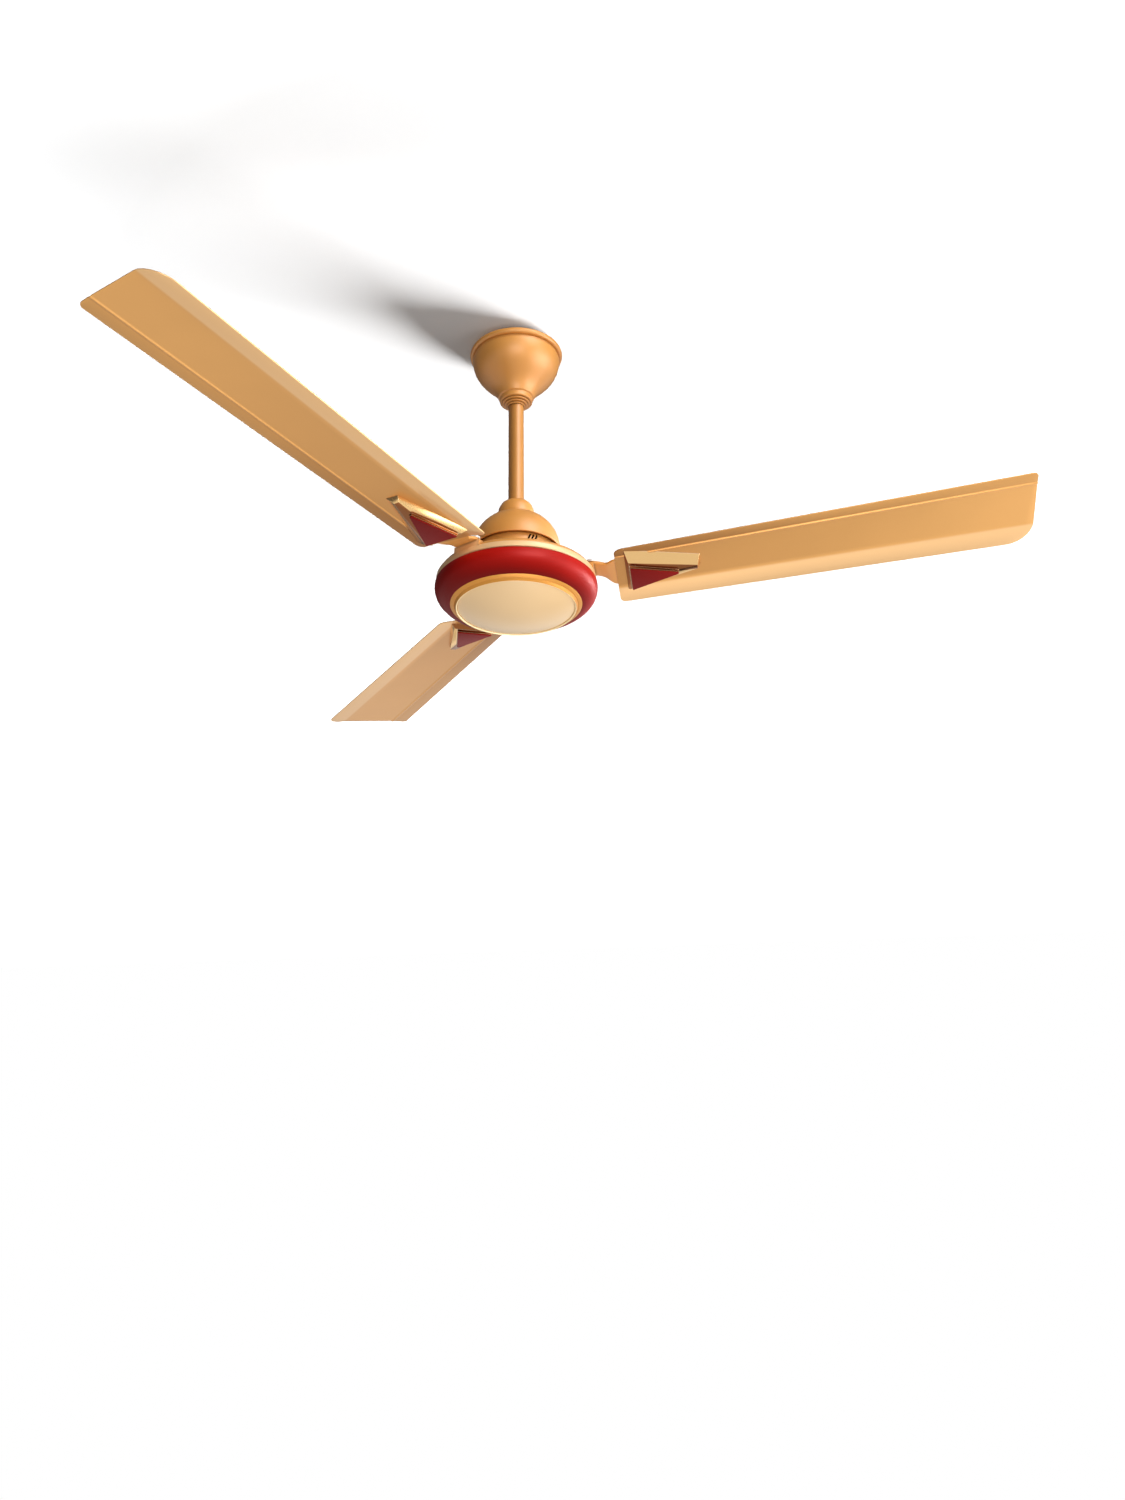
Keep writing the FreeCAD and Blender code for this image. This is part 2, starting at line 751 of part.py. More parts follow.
def top_cover():
    """Cast upper half of the motor's case, with the collar, the flange and the bracket pads."""
    collar = collar_diameter / 2
    shoulder = ellipse(collar, flange_top_z, shoulder_radius - collar, shoulder_rise, 0, 90)
    flange = flange_radius
    edge = ellipse(flange - flange_edge, flange_z + flange_edge, flange_edge, flange_edge, -90, 0)
    brow = ellipse(flange - flange_edge, flange_top_z - flange_edge, flange_edge, flange_edge, 0, 90)
    outer = lathe([at(0, flange_z), edge[0], edge[1:], brow[0], brow[1:], shoulder[0], shoulder[1:],
                   at(collar, collar_top_z - collar_edge), at(collar - collar_edge, collar_top_z),
                   at(0, collar_top_z)])
    half = pad_width / 2
    pad = block(pad_start, shoulder_radius + pad_proud, -half, half, flange_top_z, pad_z)
    notch = block(pad_start, blade_root_radius, -half, half, pad_z, collar_top_z)
    outer = outer.fuse(around(pad, blade_count))
    register = Part.makeCylinder(rotor_radius, stack_height / 2 + overrun, at(0, flange_z - overrun))
    room = Part.makeCylinder(winding_room_radius, room_top_z - flange_z, at(0, flange_z))
    inside = tube(collar - cover_wall, boss_radius, room_top_z - overrun, upper_bearing_top_z)
    seat = Part.makeCylinder(bearing_diameter / 2, upper_bearing_top_z - room_top_z + overrun,
                             at(0, room_top_z - overrun))
    mouth = Part.makeCylinder(bearing_diameter / 2 - race_wall, collar_rise,
                              at(0, upper_bearing_top_z - overrun))
    tools = [register, room, inside, seat, mouth] + vent_slots() + around(notch, blade_count)
    for place in bracket_screw_places():
        hole = Part.makeCylinder(bracket_screw_diameter / 2, bracket_screw_depth + overrun,
                                 place + at(0, pad_z - bracket_screw_depth))
        tools += around(hole, blade_count)
    for place in cover_screw_places():
        tools.append(Part.makeCylinder(cover_screw_diameter / 2, cover_screw_depth + overrun,
                                       place + at(0, flange_z - overrun)))
    return cut_all(outer, tools).removeSplitter()


def bottom_cover():
    """Cast lower half of the motor's case, with the lower bearing's seat."""
    cup = bottom_cup_radius
    flange = bottom_flange_radius
    turn_in = ellipse(cup - bottom_edge, cover_bottom_z + bottom_edge, bottom_edge, bottom_edge, 0, -90)
    boss = boss_radius
    outer = lathe([at(0, flange_z), at(flange, flange_z), at(flange, flange_z - bottom_flange_thickness),
                   at(cup, flange_z - bottom_flange_thickness), turn_in[0], turn_in[1:],
                   at(boss, cover_bottom_z), at(boss, boss_bottom_z), at(0, boss_bottom_z)])
    register = Part.makeCylinder(rotor_radius, stack_height / 2 + overrun, at(0, stack_bottom_z))
    room = tube(winding_room_radius, boss, room_bottom_z, flange_z)
    middle = Part.makeCylinder(boss + overrun, flange_z - lower_bearing_top_z, at(0, lower_bearing_top_z))
    seat = Part.makeCylinder(bearing_diameter / 2, bearing_width + overrun, at(0, lower_bearing_bottom_z))
    tools = [register, room, middle, seat]
    for place in cover_screw_places():
        tools.append(Part.makeCylinder(cover_screw_diameter / 2, bottom_flange_thickness + 2 * overrun,
                                       place + at(0, flange_z - bottom_flange_thickness - overrun)))
    tools += ring_screw_holes(cover_bottom_z - overrun, ring_screw_depth + overrun)
    return cut_all(outer, tools)


def cover_screws():
    """Screws that hold the two covers together, heads down."""
    length = bottom_flange_thickness + cover_screw_depth
    screw = pan_screw(cover_screw_diameter, length)
    seat = at(0, flange_z - bottom_flange_thickness)
    over = Rotation(Vector(1, 0, 0), 180)
    return [placed(screw, place + seat, over) for place in cover_screw_places()]


def ring_screw_holes(low, length):
    """Cutting cylinders for the screws of the trim ring."""
    hole = Part.makeCylinder(ring_screw_diameter / 2, length, at(ring_screw_radius, low))
    return around(hole, ring_screw_count, blade_turn / 2)


def trim_ring():
    """Rounded ring round the motor's lower half, with the plate that carries it."""
    mouth = ring_mouth_radius
    across = ring_half_width - ring_wall
    down = ring_half_height - ring_wall
    top = math.degrees(math.asin(ring_middle_drop / ring_half_height))
    inner_top = math.degrees(math.asin(ring_middle_drop / down))
    end = -math.degrees(math.acos((mouth - ring_centre_radius) / ring_half_width))
    inner_end = -math.degrees(math.asin((ring_centre_z - cover_bottom_z) / down))
    outer = ellipse(ring_centre_radius, ring_centre_z, ring_half_width, ring_half_height, top, end)
    inner = ellipse(ring_centre_radius, ring_centre_z, across, down, inner_end, inner_top)
    bore = ring_bore_radius
    lip = mouth - ring_wall
    ring = lathe([outer[0], outer[1:], at(lip, outer[-1].z), at(lip, ring_plate_z),
                  at(bore, ring_plate_z), at(bore, cover_bottom_z), inner[0], inner[1:]])
    return cut_all(ring, ring_screw_holes(ring_plate_z - overrun, ring_plate_thickness + 2 * overrun))


def trim_ring_screws():
    """Screws that hold the trim ring under the bottom cover."""
    screw = pan_screw(ring_screw_diameter, ring_plate_thickness + ring_screw_depth)
    screw = placed(screw, at(ring_screw_radius, ring_plate_z), Rotation(Vector(1, 0, 0), 180))
    return around(screw, ring_screw_count, blade_turn / 2)


def ring_mouth_z():
    """Height of the trim ring's lower edge."""
    share = (ring_mouth_radius - ring_centre_radius) / ring_half_width
    return ring_centre_z - ring_half_height * math.sqrt(1 - share * share)


def bezel_ring():
    """Bright ring in the mouth of the trim ring."""
    outer = ring_mouth_radius
    inner = bezel_radius
    top = ring_mouth_z()
    low = top - bezel_drop
    spigot = bezel_spigot_radius
    rim = ellipse(inner + bezel_lip, low, bezel_lip, bezel_lip, -90, -180)
    return lathe([at(outer, top), rim[0], rim[1:], at(inner, top), at(spigot - bezel_spigot_wall, top),
                  at(spigot - bezel_spigot_wall, ring_plate_z), at(spigot, ring_plate_z), at(spigot, top)])


def bottom_cap():
    """Shallow domed cap that closes the motor from below."""
    edge = bezel_radius - inlay_gap
    low = ring_mouth_z() - bezel_drop
    skirt = edge - cap_skirt_inset
    sphere = (edge * edge + cap_bulge * cap_bulge) / (2 * cap_bulge)
    centre = low - cap_bulge + sphere
    spread = math.degrees(math.asin(edge / sphere))
    outer = ellipse(0, centre, sphere, sphere, -90 + spread, -90)
    hollow = sphere - cap_wall
    reach = math.degrees(math.asin((skirt - cap_wall) / hollow))
    inner = ellipse(0, centre, hollow, hollow, -90, -90 + reach)
    return lathe([outer[0], outer[1:], inner[0], inner[1:], at(skirt - cap_wall, ring_plate_z),
                  at(skirt, ring_plate_z), at(skirt, low + cap_wall), at(edge, low + cap_wall)])


def strip(stations):
    """Bent strip through stations of a centre, a direction across and a width."""
    wires = []
    count = len(stations)
    for index, (centre, across, width) in enumerate(stations):
        before = stations[max(index - 1, 0)][0]
        after = stations[min(index + 1, count - 1)][0]
        arrive = (centre - before) if index else (after - centre)
        leave = (after - centre) if index < count - 1 else arrive
        arrive = Vector(arrive).normalize()
        leave = Vector(leave).normalize()
        along = (arrive + leave).normalize()
        lift = along.cross(across).normalize() * (bracket_thickness / 2 / along.dot(leave))
        side = across * (width / 2)
        wires.append(closed_wire([centre - side - lift, centre + side - lift,
                                  centre + side + lift, centre - side + lift]))
    return Part.makeLoft(wires, True, True)


def bracket():
    """Stamped arm of the first blade: foot, waist and the pad on top of the blade."""
    plane = blade_place(0)
    flat = Vector(0, 1, 0)
    across = plane.Rotation.multVec(flat)
    middle = (arm_under + arm_top) / 2
    foot_z = pad_z + bracket_thickness / 2
    bend = plane.multVec(Vector(-blade_end_setback, 0, middle))
    root = plane.multVec(Vector(trim_root_gap, 0, middle))
    tip = plane.multVec(Vector(pad_length, 0, middle))
    half_way = (flat + across).normalize()
    arm = strip([(at(foot_start, foot_z), flat, foot_width),
                 (at(foot_end, foot_z), flat, foot_width),
                 (at(waist_radius, flange_z + waist_lift), half_way, waist_width),
                 (bend, across, blade_end_width), (root, across, blade_end_width),
                 (tip, across, pad_tip_width)])
    radius = bracket_screw_diameter / 2 + bolt_clearance
    tools = [Part.makeCylinder(radius, bracket_thickness + 2 * overrun, place + at(0, pad_z - overrun))
             for place in bracket_screw_places()]
    tools += [on_blade(hole, 0) for hole in blade_screw_holes()]
    return cut_all(arm, tools)


def blade_screw_places():
    """Where the blade screws stand, in the blade's plane."""
    half = blade_screw_spacing / 2
    return [Vector(blade_screw_reach, -half, 0), Vector(blade_screw_reach, half, 0),
            Vector(blade_screw_far_reach, 0, 0)]


def blade_screw_holes():
    """Cutting cylinders for the blade screws, in the blade's plane."""
    radius = blade_screw_diameter / 2 + bolt_clearance
    height = 2 * (arm_top + overrun)
    return [Part.makeCylinder(radius, height, place - up * (height / 2)) for place in blade_screw_places()]


def blade_section(reach, lead, trail, rise):
    """Closed section of the pressed blade at a distance from its root, its upper side at a rise."""
    chord = lead + trail
    bead = -lead + chord * bead_share
    fold = trail - chord * flap_share
    profile = [(-lead, -lead_drop), (bead, 0), (bead + bead_width / 2, -bead_height), (bead + bead_width, 0),
               (fold, 0), (trail, -flap_drop)]
    lower = [Vector(reach, y, z - blade_top) for y, z in profile]
    upper = [Vector(reach, y, z + rise) for y, z in reversed(profile)]
    return closed_wire(lower + upper)


def rounded_plan(points, radii):
    """Closed plan through corners that are rounded to their own radii."""
    edges = []
    count = len(points)
    ends = []
    for index, corner in enumerate(points):
        to_last = Vector(points[index - 1] - corner).normalize()
        to_next = Vector(points[(index + 1) % count] - corner).normalize()
        half = to_last.getAngle(to_next) / 2
        reach = radii[index] / math.tan(half)
        middle = corner + (to_last + to_next).normalize() * (radii[index] / math.sin(half) - radii[index])
        ends.append((corner + to_last * reach, middle, corner + to_next * reach))
    for index, (start, middle, end) in enumerate(ends):
        edges.append(Part.Arc(start, middle, end).toShape())
        edges.append(Part.LineSegment(end, ends[(index + 1) % count][0]).toShape())
    return Part.Wire(edges)


def blade_sheet(rise):
    """The pressed form of the blade before its plan is trimmed, its upper side at a rise."""
    return Part.makeLoft([blade_section(0, root_lead_width, root_trail_width, rise),
                          blade_section(blade_length, tip_lead_width, tip_trail_width, rise)], True, True)


def blade():
    """Pressed sheet blade in its own plane, with a bead and a trailing flap."""
    sheet = blade_sheet(blade_top)
    depth = flap_drop + bead_height + 2 * overrun
    plan = rounded_plan([Vector(0, -root_lead_width, -depth),
                         Vector(blade_length - tip_slant, -tip_lead_width, -depth),
                         Vector(blade_length, tip_trail_width, -depth), Vector(0, root_trail_width, -depth)],
                        [root_lead_corner, tip_lead_corner, tip_trail_corner, root_trail_corner])
    sheet = sheet.common(Part.Face(plan).extrude(up * (2 * depth)))
    return cut_all(sheet, blade_screw_holes())


def trim_outlines():
    """Corners of the trim where it meets the blade, and of its slanting lower face."""
    root = trim_root_gap
    tip = root + trim_length
    half = trim_tip_width / 2
    face = trim_tip_face_width / 2
    seat = -blade_top
    base = [Vector(root, -trim_lead_width, seat), Vector(tip, trim_tip_offset - half, seat),
            Vector(tip, trim_tip_offset + half, seat), Vector(root, trim_trail_width, seat)]
    start = root + trim_root_draft
    end = tip - trim_tip_draft
    lead = Vector(start, -trim_lead_width + trim_lead_draft, seat - trim_lead_height)
    trail = Vector(start, trim_trail_width - trim_trail_draft, seat - trim_trail_height)
    middle = Vector(end, trim_tip_face_offset, seat - trim_tip_height)
    across = (trail - lead) * (face / (trail.y - lead.y))
    return base, [lead, middle - across, middle + across, trail]


def trim_face_normal():
    """Direction from the trim's lower face into the trim."""
    lead, near, far, trail = trim_outlines()[1]
    return (near - lead).cross(trail - lead).normalize()


def inlay_corners():
    """Corners of the inlay, on the trim's lower face."""
    start = trim_root_gap + inlay_root_gap
    end = start + inlay_length
    half = inlay_tip_width / 2
    plan = [(start, -inlay_lead_width), (end, inlay_tip_offset - half), (end, inlay_tip_offset + half),
            (start, inlay_trail_width)]
    corner = trim_outlines()[1][0]
    inward = trim_face_normal()
    return [Vector(x, y, corner.z - (inward.x * (x - corner.x) + inward.y * (y - corner.y)) / inward.z)
            for x, y in plan]


def inset(points, distance):
    """A flat polygon moved inward all round."""
    return closed_wire(points).makeOffset2D(-distance, 2)


def blade_trim():
    """Hollow raised trim on the underside of the blade, shaped to it and recessed for the inlay."""
    base, bottom = trim_outlines()
    inward = trim_face_normal()
    body = Part.makeLoft([closed_wire(base), closed_wire(bottom)], True, True)
    corners = [edge for edge in body.Edges if edge.BoundBox.ZLength > trim_trail_height / 2
               and edge.BoundBox.ZMax > base[0].z - blade_top]
    body = body.makeFillet(trim_corner, corners)
    depth = inlay_thickness - inlay_proud
    floor = inset(bottom, trim_wall)
    floor.translate(inward * (depth + trim_wall))
    hollow = Part.makeLoft([inset(base, trim_wall), floor], True, True)
    recess = Part.Face(inset(inlay_corners(), -inlay_gap)).extrude(inward * depth)
    return cut_all(body, [hollow, recess, blade_sheet(trim_lead_height)])


def trim_inlay():
    """Coloured plate in the trim's recess, standing a little proud."""
    corners = inlay_corners()
    inward = trim_face_normal()
    outline = closed_wire(corners)
    outline.translate(inward * -inlay_proud)
    plate = Part.Face(outline).extrude(inward * inlay_thickness)
    level = corners[0].dot(inward) - inlay_proud
    rim = [edge for edge in plate.Edges if abs(edge.CenterOfMass.dot(inward) - level) < inlay_edge / 2]
    return plate.makeFillet(inlay_edge, rim)


def blade_screws():
    """Screws that clamp every blade under its bracket, heads up."""
    length = arm_top + blade_top + blade_nut_height
    seat = up * arm_top
    screws = [placed(pan_screw(blade_screw_diameter, length), place + seat) for place in blade_screw_places()]
    return [on_blade(screw, index) for index in range(blade_count) for screw in screws]


def blade_nuts():
    """Nuts of the blade screws, inside the trims."""
    nut = hexagon(blade_nut_width, blade_nut_height)
    bore = Part.makeCylinder(blade_screw_diameter / 2, blade_nut_height + 2 * overrun, at(0, -overrun))
    nut = nut.cut(bore)
    nuts = [placed(nut, place - up * (blade_top + blade_nut_height)) for place in blade_screw_places()]
    return [on_blade(copy, index) for index in range(blade_count) for copy in nuts]


def bracket_screws():
    """Screws that hold the bracket feet to the top cover."""
    length = bracket_screw_depth + bracket_thickness + washer_thickness
    seat = at(0, pad_z + bracket_thickness + washer_thickness)
    screws = []
    for place in bracket_screw_places():
        screws += around(placed(pan_screw(bracket_screw_diameter, length), place + seat), blade_count)
    return screws


def bracket_washers():
    """Washers under the heads of the bracket screws."""
    radius = bracket_screw_diameter / 2
    low = pad_z + bracket_thickness
    washer = tube(radius + washer_width, radius, low, low + washer_thickness)
    washers = []
    for place in bracket_screw_places():
        washers += around(placed(washer, place), blade_count)
    return washers


def capacitor_parts():
    """Run capacitor beside the coupler, its clip and the clip's screw."""
    near = coupler_diameter / 2 + clip_thickness
    half = capacitor_length / 2
    rise = capacitor_height / 2
    body = block(-half, half, near, near + capacitor_width, clip_z - rise, clip_z + rise)
    body = body.makeFillet(capacitor_edge, body.Edges)
    arm = clip_width / 2
    clip = block(-half - clip_thickness, half + clip_thickness, near - clip_thickness,
                 near + capacitor_width + clip_thickness, clip_z - arm, clip_z + arm)
    case = block(-half, half, near, near + capacitor_width, clip_z - clip_width, clip_z + clip_width)
    clip = clip.cut(case)
    inner = journal_diameter / 2 + clip_thickness
    screw = Part.makeCylinder(clip_screw_diameter / 2, near - inner, Vector(0, inner, clip_z),
                              Vector(0, 1, 0))
    return body, clip.cut(screw), screw


def write(name, shape):
    """Write one node, a solid or a group of like solids."""
    if isinstance(shape, list):
        shape = Part.makeCompound(shape)
    shape.exportStep("parts/" + name + ".step")


def main():
    """Build every node of the fan."""
    os.makedirs("parts", exist_ok=True)
    strap_grip = leg_outer
    coupler_grip = coupler_diameter / 2
    write("hanger_reel", hanger_reel())
    write("shackle", shackle())
    write("reel_bolt", cross_bolt(strap_grip, reel_drop, False))
    write("rod_bolt", cross_bolt(strap_grip, rod_bolt_drop, True))
    write("coupler_bolt", cross_bolt(coupler_grip, coupler_bolt_drop, True))
    write("hanger_nuts", [cross_nut(strap_grip, reel_drop), cross_nut(strap_grip, rod_bolt_drop),
                          cross_nut(coupler_grip, coupler_bolt_drop)])
    write("split_pins", [split_pin(strap_grip, rod_bolt_drop), split_pin(coupler_grip, coupler_bolt_drop)])
    write("down_rod", down_rod())
    terminal, terminal_screws = terminal_parts()
    write("terminal_block", terminal)
    write("terminal_screws", terminal_screws)
    write("top_canopy", top_canopy())
    write("canopy_screw", grub_screw(canopy_grub_drop(), canopy_neck_diameter / 2))
    write("lower_cup", lower_cup())
    write("cup_screw", grub_screw(cup_grub_drop(), cup_neck_diameter / 2))
    write("shaft_coupler", shaft_coupler())
    write("motor_shaft", motor_shaft())
    write("stator_core", stator_core())
    write("stator_coils", stator_coils())
    write("rotor_core", rotor_core())
    write("rotor_end_rings", rotor_end_rings())
    for name, low in (("upper", upper_bearing_bottom_z), ("lower", lower_bearing_bottom_z)):
        write(name + "_inner_race", inner_race(low))
        write(name + "_outer_race", outer_race(low))
        write(name + "_balls", balls(low))
        write(name + "_ball_cage", ball_cage(low))
    write("top_cover", top_cover())
    write("bottom_cover", bottom_cover())
    write("cover_screws", cover_screws())
    write("trim_ring", trim_ring())
    write("trim_ring_screws", trim_ring_screws())
    write("bezel_ring", bezel_ring())
    write("bottom_cap", bottom_cap())
    arms = around(bracket(), blade_count)
    sheet = blade()
    raised = blade_trim()
    plate = trim_inlay()
    for index in range(blade_count):
        number = str(index + 1)
        write("bracket_" + number, arms[index])
        write("blade_" + number, on_blade(sheet, index))
        write("blade_trim_" + number, on_blade(raised, index))
        write("trim_inlay_" + number, on_blade(plate, index))
    write("bracket_screws", bracket_screws())
    write("bracket_washers", bracket_washers())
    write("blade_screws", blade_screws())
    write("blade_nuts", blade_nuts())
    capacitor, clip, clip_screw = capacitor_parts()
    write("capacitor", capacitor)
    write("capacitor_clip", clip)
    write("clip_screw", clip_screw)


main()
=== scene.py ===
"""Looks of a three-blade ceiling fan, dressed over its packed frame.

Lengths are in metres and +Z is up. The origin is the centre of the canopy's rim, and blade 1 points along +X.
Turned shells, pressed blades, raised trims and stamped arms are modelled here and stand for their plain solids.
The other solids keep their shapes and get the finishes of this file.
"""

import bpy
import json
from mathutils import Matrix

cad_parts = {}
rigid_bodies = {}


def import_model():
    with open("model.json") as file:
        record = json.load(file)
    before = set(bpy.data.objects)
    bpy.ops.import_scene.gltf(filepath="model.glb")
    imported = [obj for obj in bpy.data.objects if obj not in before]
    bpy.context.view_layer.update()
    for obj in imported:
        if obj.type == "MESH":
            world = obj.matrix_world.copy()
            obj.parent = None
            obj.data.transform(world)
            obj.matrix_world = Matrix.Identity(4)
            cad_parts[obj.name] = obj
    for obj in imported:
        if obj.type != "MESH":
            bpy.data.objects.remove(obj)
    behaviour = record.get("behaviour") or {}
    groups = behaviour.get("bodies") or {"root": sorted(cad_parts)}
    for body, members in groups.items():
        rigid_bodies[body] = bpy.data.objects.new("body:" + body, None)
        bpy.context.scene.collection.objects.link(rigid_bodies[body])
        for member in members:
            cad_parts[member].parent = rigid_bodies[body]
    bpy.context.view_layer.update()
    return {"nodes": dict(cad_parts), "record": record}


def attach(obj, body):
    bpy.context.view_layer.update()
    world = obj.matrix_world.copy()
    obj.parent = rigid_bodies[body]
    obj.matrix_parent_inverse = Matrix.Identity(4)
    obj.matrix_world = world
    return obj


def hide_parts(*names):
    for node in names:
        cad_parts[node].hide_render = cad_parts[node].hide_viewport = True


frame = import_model()

import json
import math

import bmesh
import bpy
from bpy.props import FloatProperty, FloatVectorProperty, IntProperty, PointerProperty
from mathutils import Matrix, Vector

bl_info = {
    "name": "Ceiling fan",
    "version": (1, 0, 0),
    "blender": (4, 5, 0),
    "location": "View3D > Sidebar > Fan",
    "description": "Dresses the packed frame of a ceiling fan",
    "category": "Mesh",
}

MM = 0.001
BLADE_COUNT = 3
SPIN_STEPS = 144
ARC_STEPS = 24
CORNER_STEPS = 4
BLADE_STATIONS = 40
ARM_LEVELS = 3
WELD = 1e-6
NEAR = 1e-5
UP = Vector((0, 0, 1))
WHITE = (1, 1, 1, 1)

# Where the rounding of a turned piece's corners starts, in millimetres, and the most of a side that it takes.
CORNERS = {"canopy_shell": 0.6, "cup_shell": 0.8, "cover_shell": 0.8, "ring_shell": 0.4, "bezel_band": 0.35,
           "cap_dome": 0.5}
CORNER_SHARE = 0.45

# Slots of a vent group, counted from its middle, and the line round the bezel, as shares of its slope.
SLOT_STEPS = (-1, 0, 1)
BEZEL_LINE = (0.62, 0.68, 0.74)

# Fine looks that all the finishes share.
COAT_ROUGHNESS = 0.36
FLAKE_SCALE = 2400.0
# Reach of the painted shade that darkens crevices.
CREVICE_SHADE_DEPTH = 4 * MM
# Width of worn edges, which on the gilt trims also carry a painted highlight.
RUB_AND_HIGHLIGHT_WIDTH = 0.9 * MM
GRAIN_DEPTH = 0.4 * MM

# The finish of each slot of the packed solids.
WORN_BY = {
    "gold_cast": "gold_paint", "gold_steel": "gold_paint", "gold_shell": "gold_paint", "gold_blade": "blade_paint",
    "gilt": "gilt_plate", "maroon_gloss": "maroon_lacquer", "cream_cap": "cream_gloss", "reel_rubber": "black_rubber",
    "zinc_steel": "zinc_plate", "bright_screw": "bright_plate", "bearing_steel": "ground_steel",
    "lamination": "laminations", "end_ring": "cast_aluminium", "winding": "copper_wire",
    "cage_plastic": "cage_moulding", "terminal_plastic": "pale_moulding", "capacitor_case": "pale_moulding",
}

# Lamps: place and size in metres, power in watts, the height that they look at, and what they light if not all.
LAMPS = (
    ("key", (2.3, -0.3, -0.5), 2.0, 54, -0.3, ()),
    ("top", (1.4, -1.3, 1.2), 1.2, 50, -0.3, ()),
    ("front", (0.5, -2.6, -0.3), 1.4, 24, -0.3, ("canopy_", "cup_shell", "bezel_band", "cap_dome", "blade_skin",
                                                 "trim_skin", "arm_skin", "cover_shell")),
    ("under", (0.4, -0.5, -2.2), 1.6, 26, -0.3, ("blade_skin", "arm_skin", "cap_dome", "bezel_band", "cover_shell")),
    ("rim", (1.6, 1.1, -0.1), 0.9, 64, -0.3, ("cup_shell", "ring_shell")),
    ("ring", (1.05, -1.85, -0.1), 1.0, 60, -0.35, ("ring_shell",)),
    ("cap", (1.6, 1.3, -1.1), 0.8, 12, -0.35, ("cap_dome", "bezel_band")),
)
RAKE_PLACE, RAKE_WAY, RAKE_POWER, RAKE_SPREAD = (0.75, 0.68, -0.2), (-0.76, -0.62, 0.20), 26.0, 32

# Ceiling and floor: stops of a place in metres and a level, by distance from the rod as they are seen,
# and along one axis, from a start behind the rod, as they are mirrored. Then their level as soft fill.
CEILING_SIZE, FLOOR_SIZE = 6.0, 30.0
CEILING_HAZE = ((0.0, 0.07), (0.5, 0.07), (1.2, 1.0), (3.0, 1.0))
CEILING_MIRROR = ((0.0, 0.1), (4.05, 0.12), (4.9, 1.0), (8.0, 1.0))
FLOOR_HAZE = ((0.0, 1.0), (15.0, 1.0))
FLOOR_MIRROR = ((0.0, 0.85), (4.3, 0.85), (4.8, 1.0), (5.7, 1.0), (6.3, 0.7), (9.0, 0.7), (12.0, 1.0), (16.0, 1.0))
MIRROR_START = 4.0
CEILING_FILL, FLOOR_FILL, WORLD_FILL = 0.15, 0.28, 0.12
SHEET_PAINT = (0.495, 0.5, 0.505, 1)

# Cards over the floor: middle and size in metres, and glow. Then the side on which the mirrored world is bright.
CARDS = (("stage_dark", (1.15, 3.3), (1.1, 1.3), 0.0), ("stage_glow", (2.7, 3.5), (1.4, 1.4), 1.55))
CARD_LIFT = 0.05
CARD_PAINT = (0.04, 0.035, 0.03, 1)
BRIGHT_SIDE = (0.6, 0.8, 0)
SENSOR_HEIGHT = 36


def length(name, text, millimetres):
    """A length that a user can change, given in millimetres."""
    return FloatProperty(name=name, description=text, default=millimetres * MM, unit="LENGTH", precision=4)


def angle(name, text, degrees):
    """An angle that a user can change, given in degrees."""
    return FloatProperty(name=name, description=text, default=math.radians(degrees), subtype="ANGLE")


def share(name, text, value):
    """A share from 0 to 1."""
    return FloatProperty(name=name, description=text, default=value, min=0, max=1, subtype="FACTOR")


def linear(level):
    """One screen level from 0 to 255 as scene light."""
    level /= 255
    return level / 12.92 if level <= 0.04045 else ((level + 0.055) / 1.055) ** 2.4


def colour(name, text, *levels):
    """A colour that a user can change, given in screen levels."""
    return FloatVectorProperty(name=name, description=text, default=[linear(level) for level in levels],
                               size=3, min=0, max=1, subtype="COLOR")


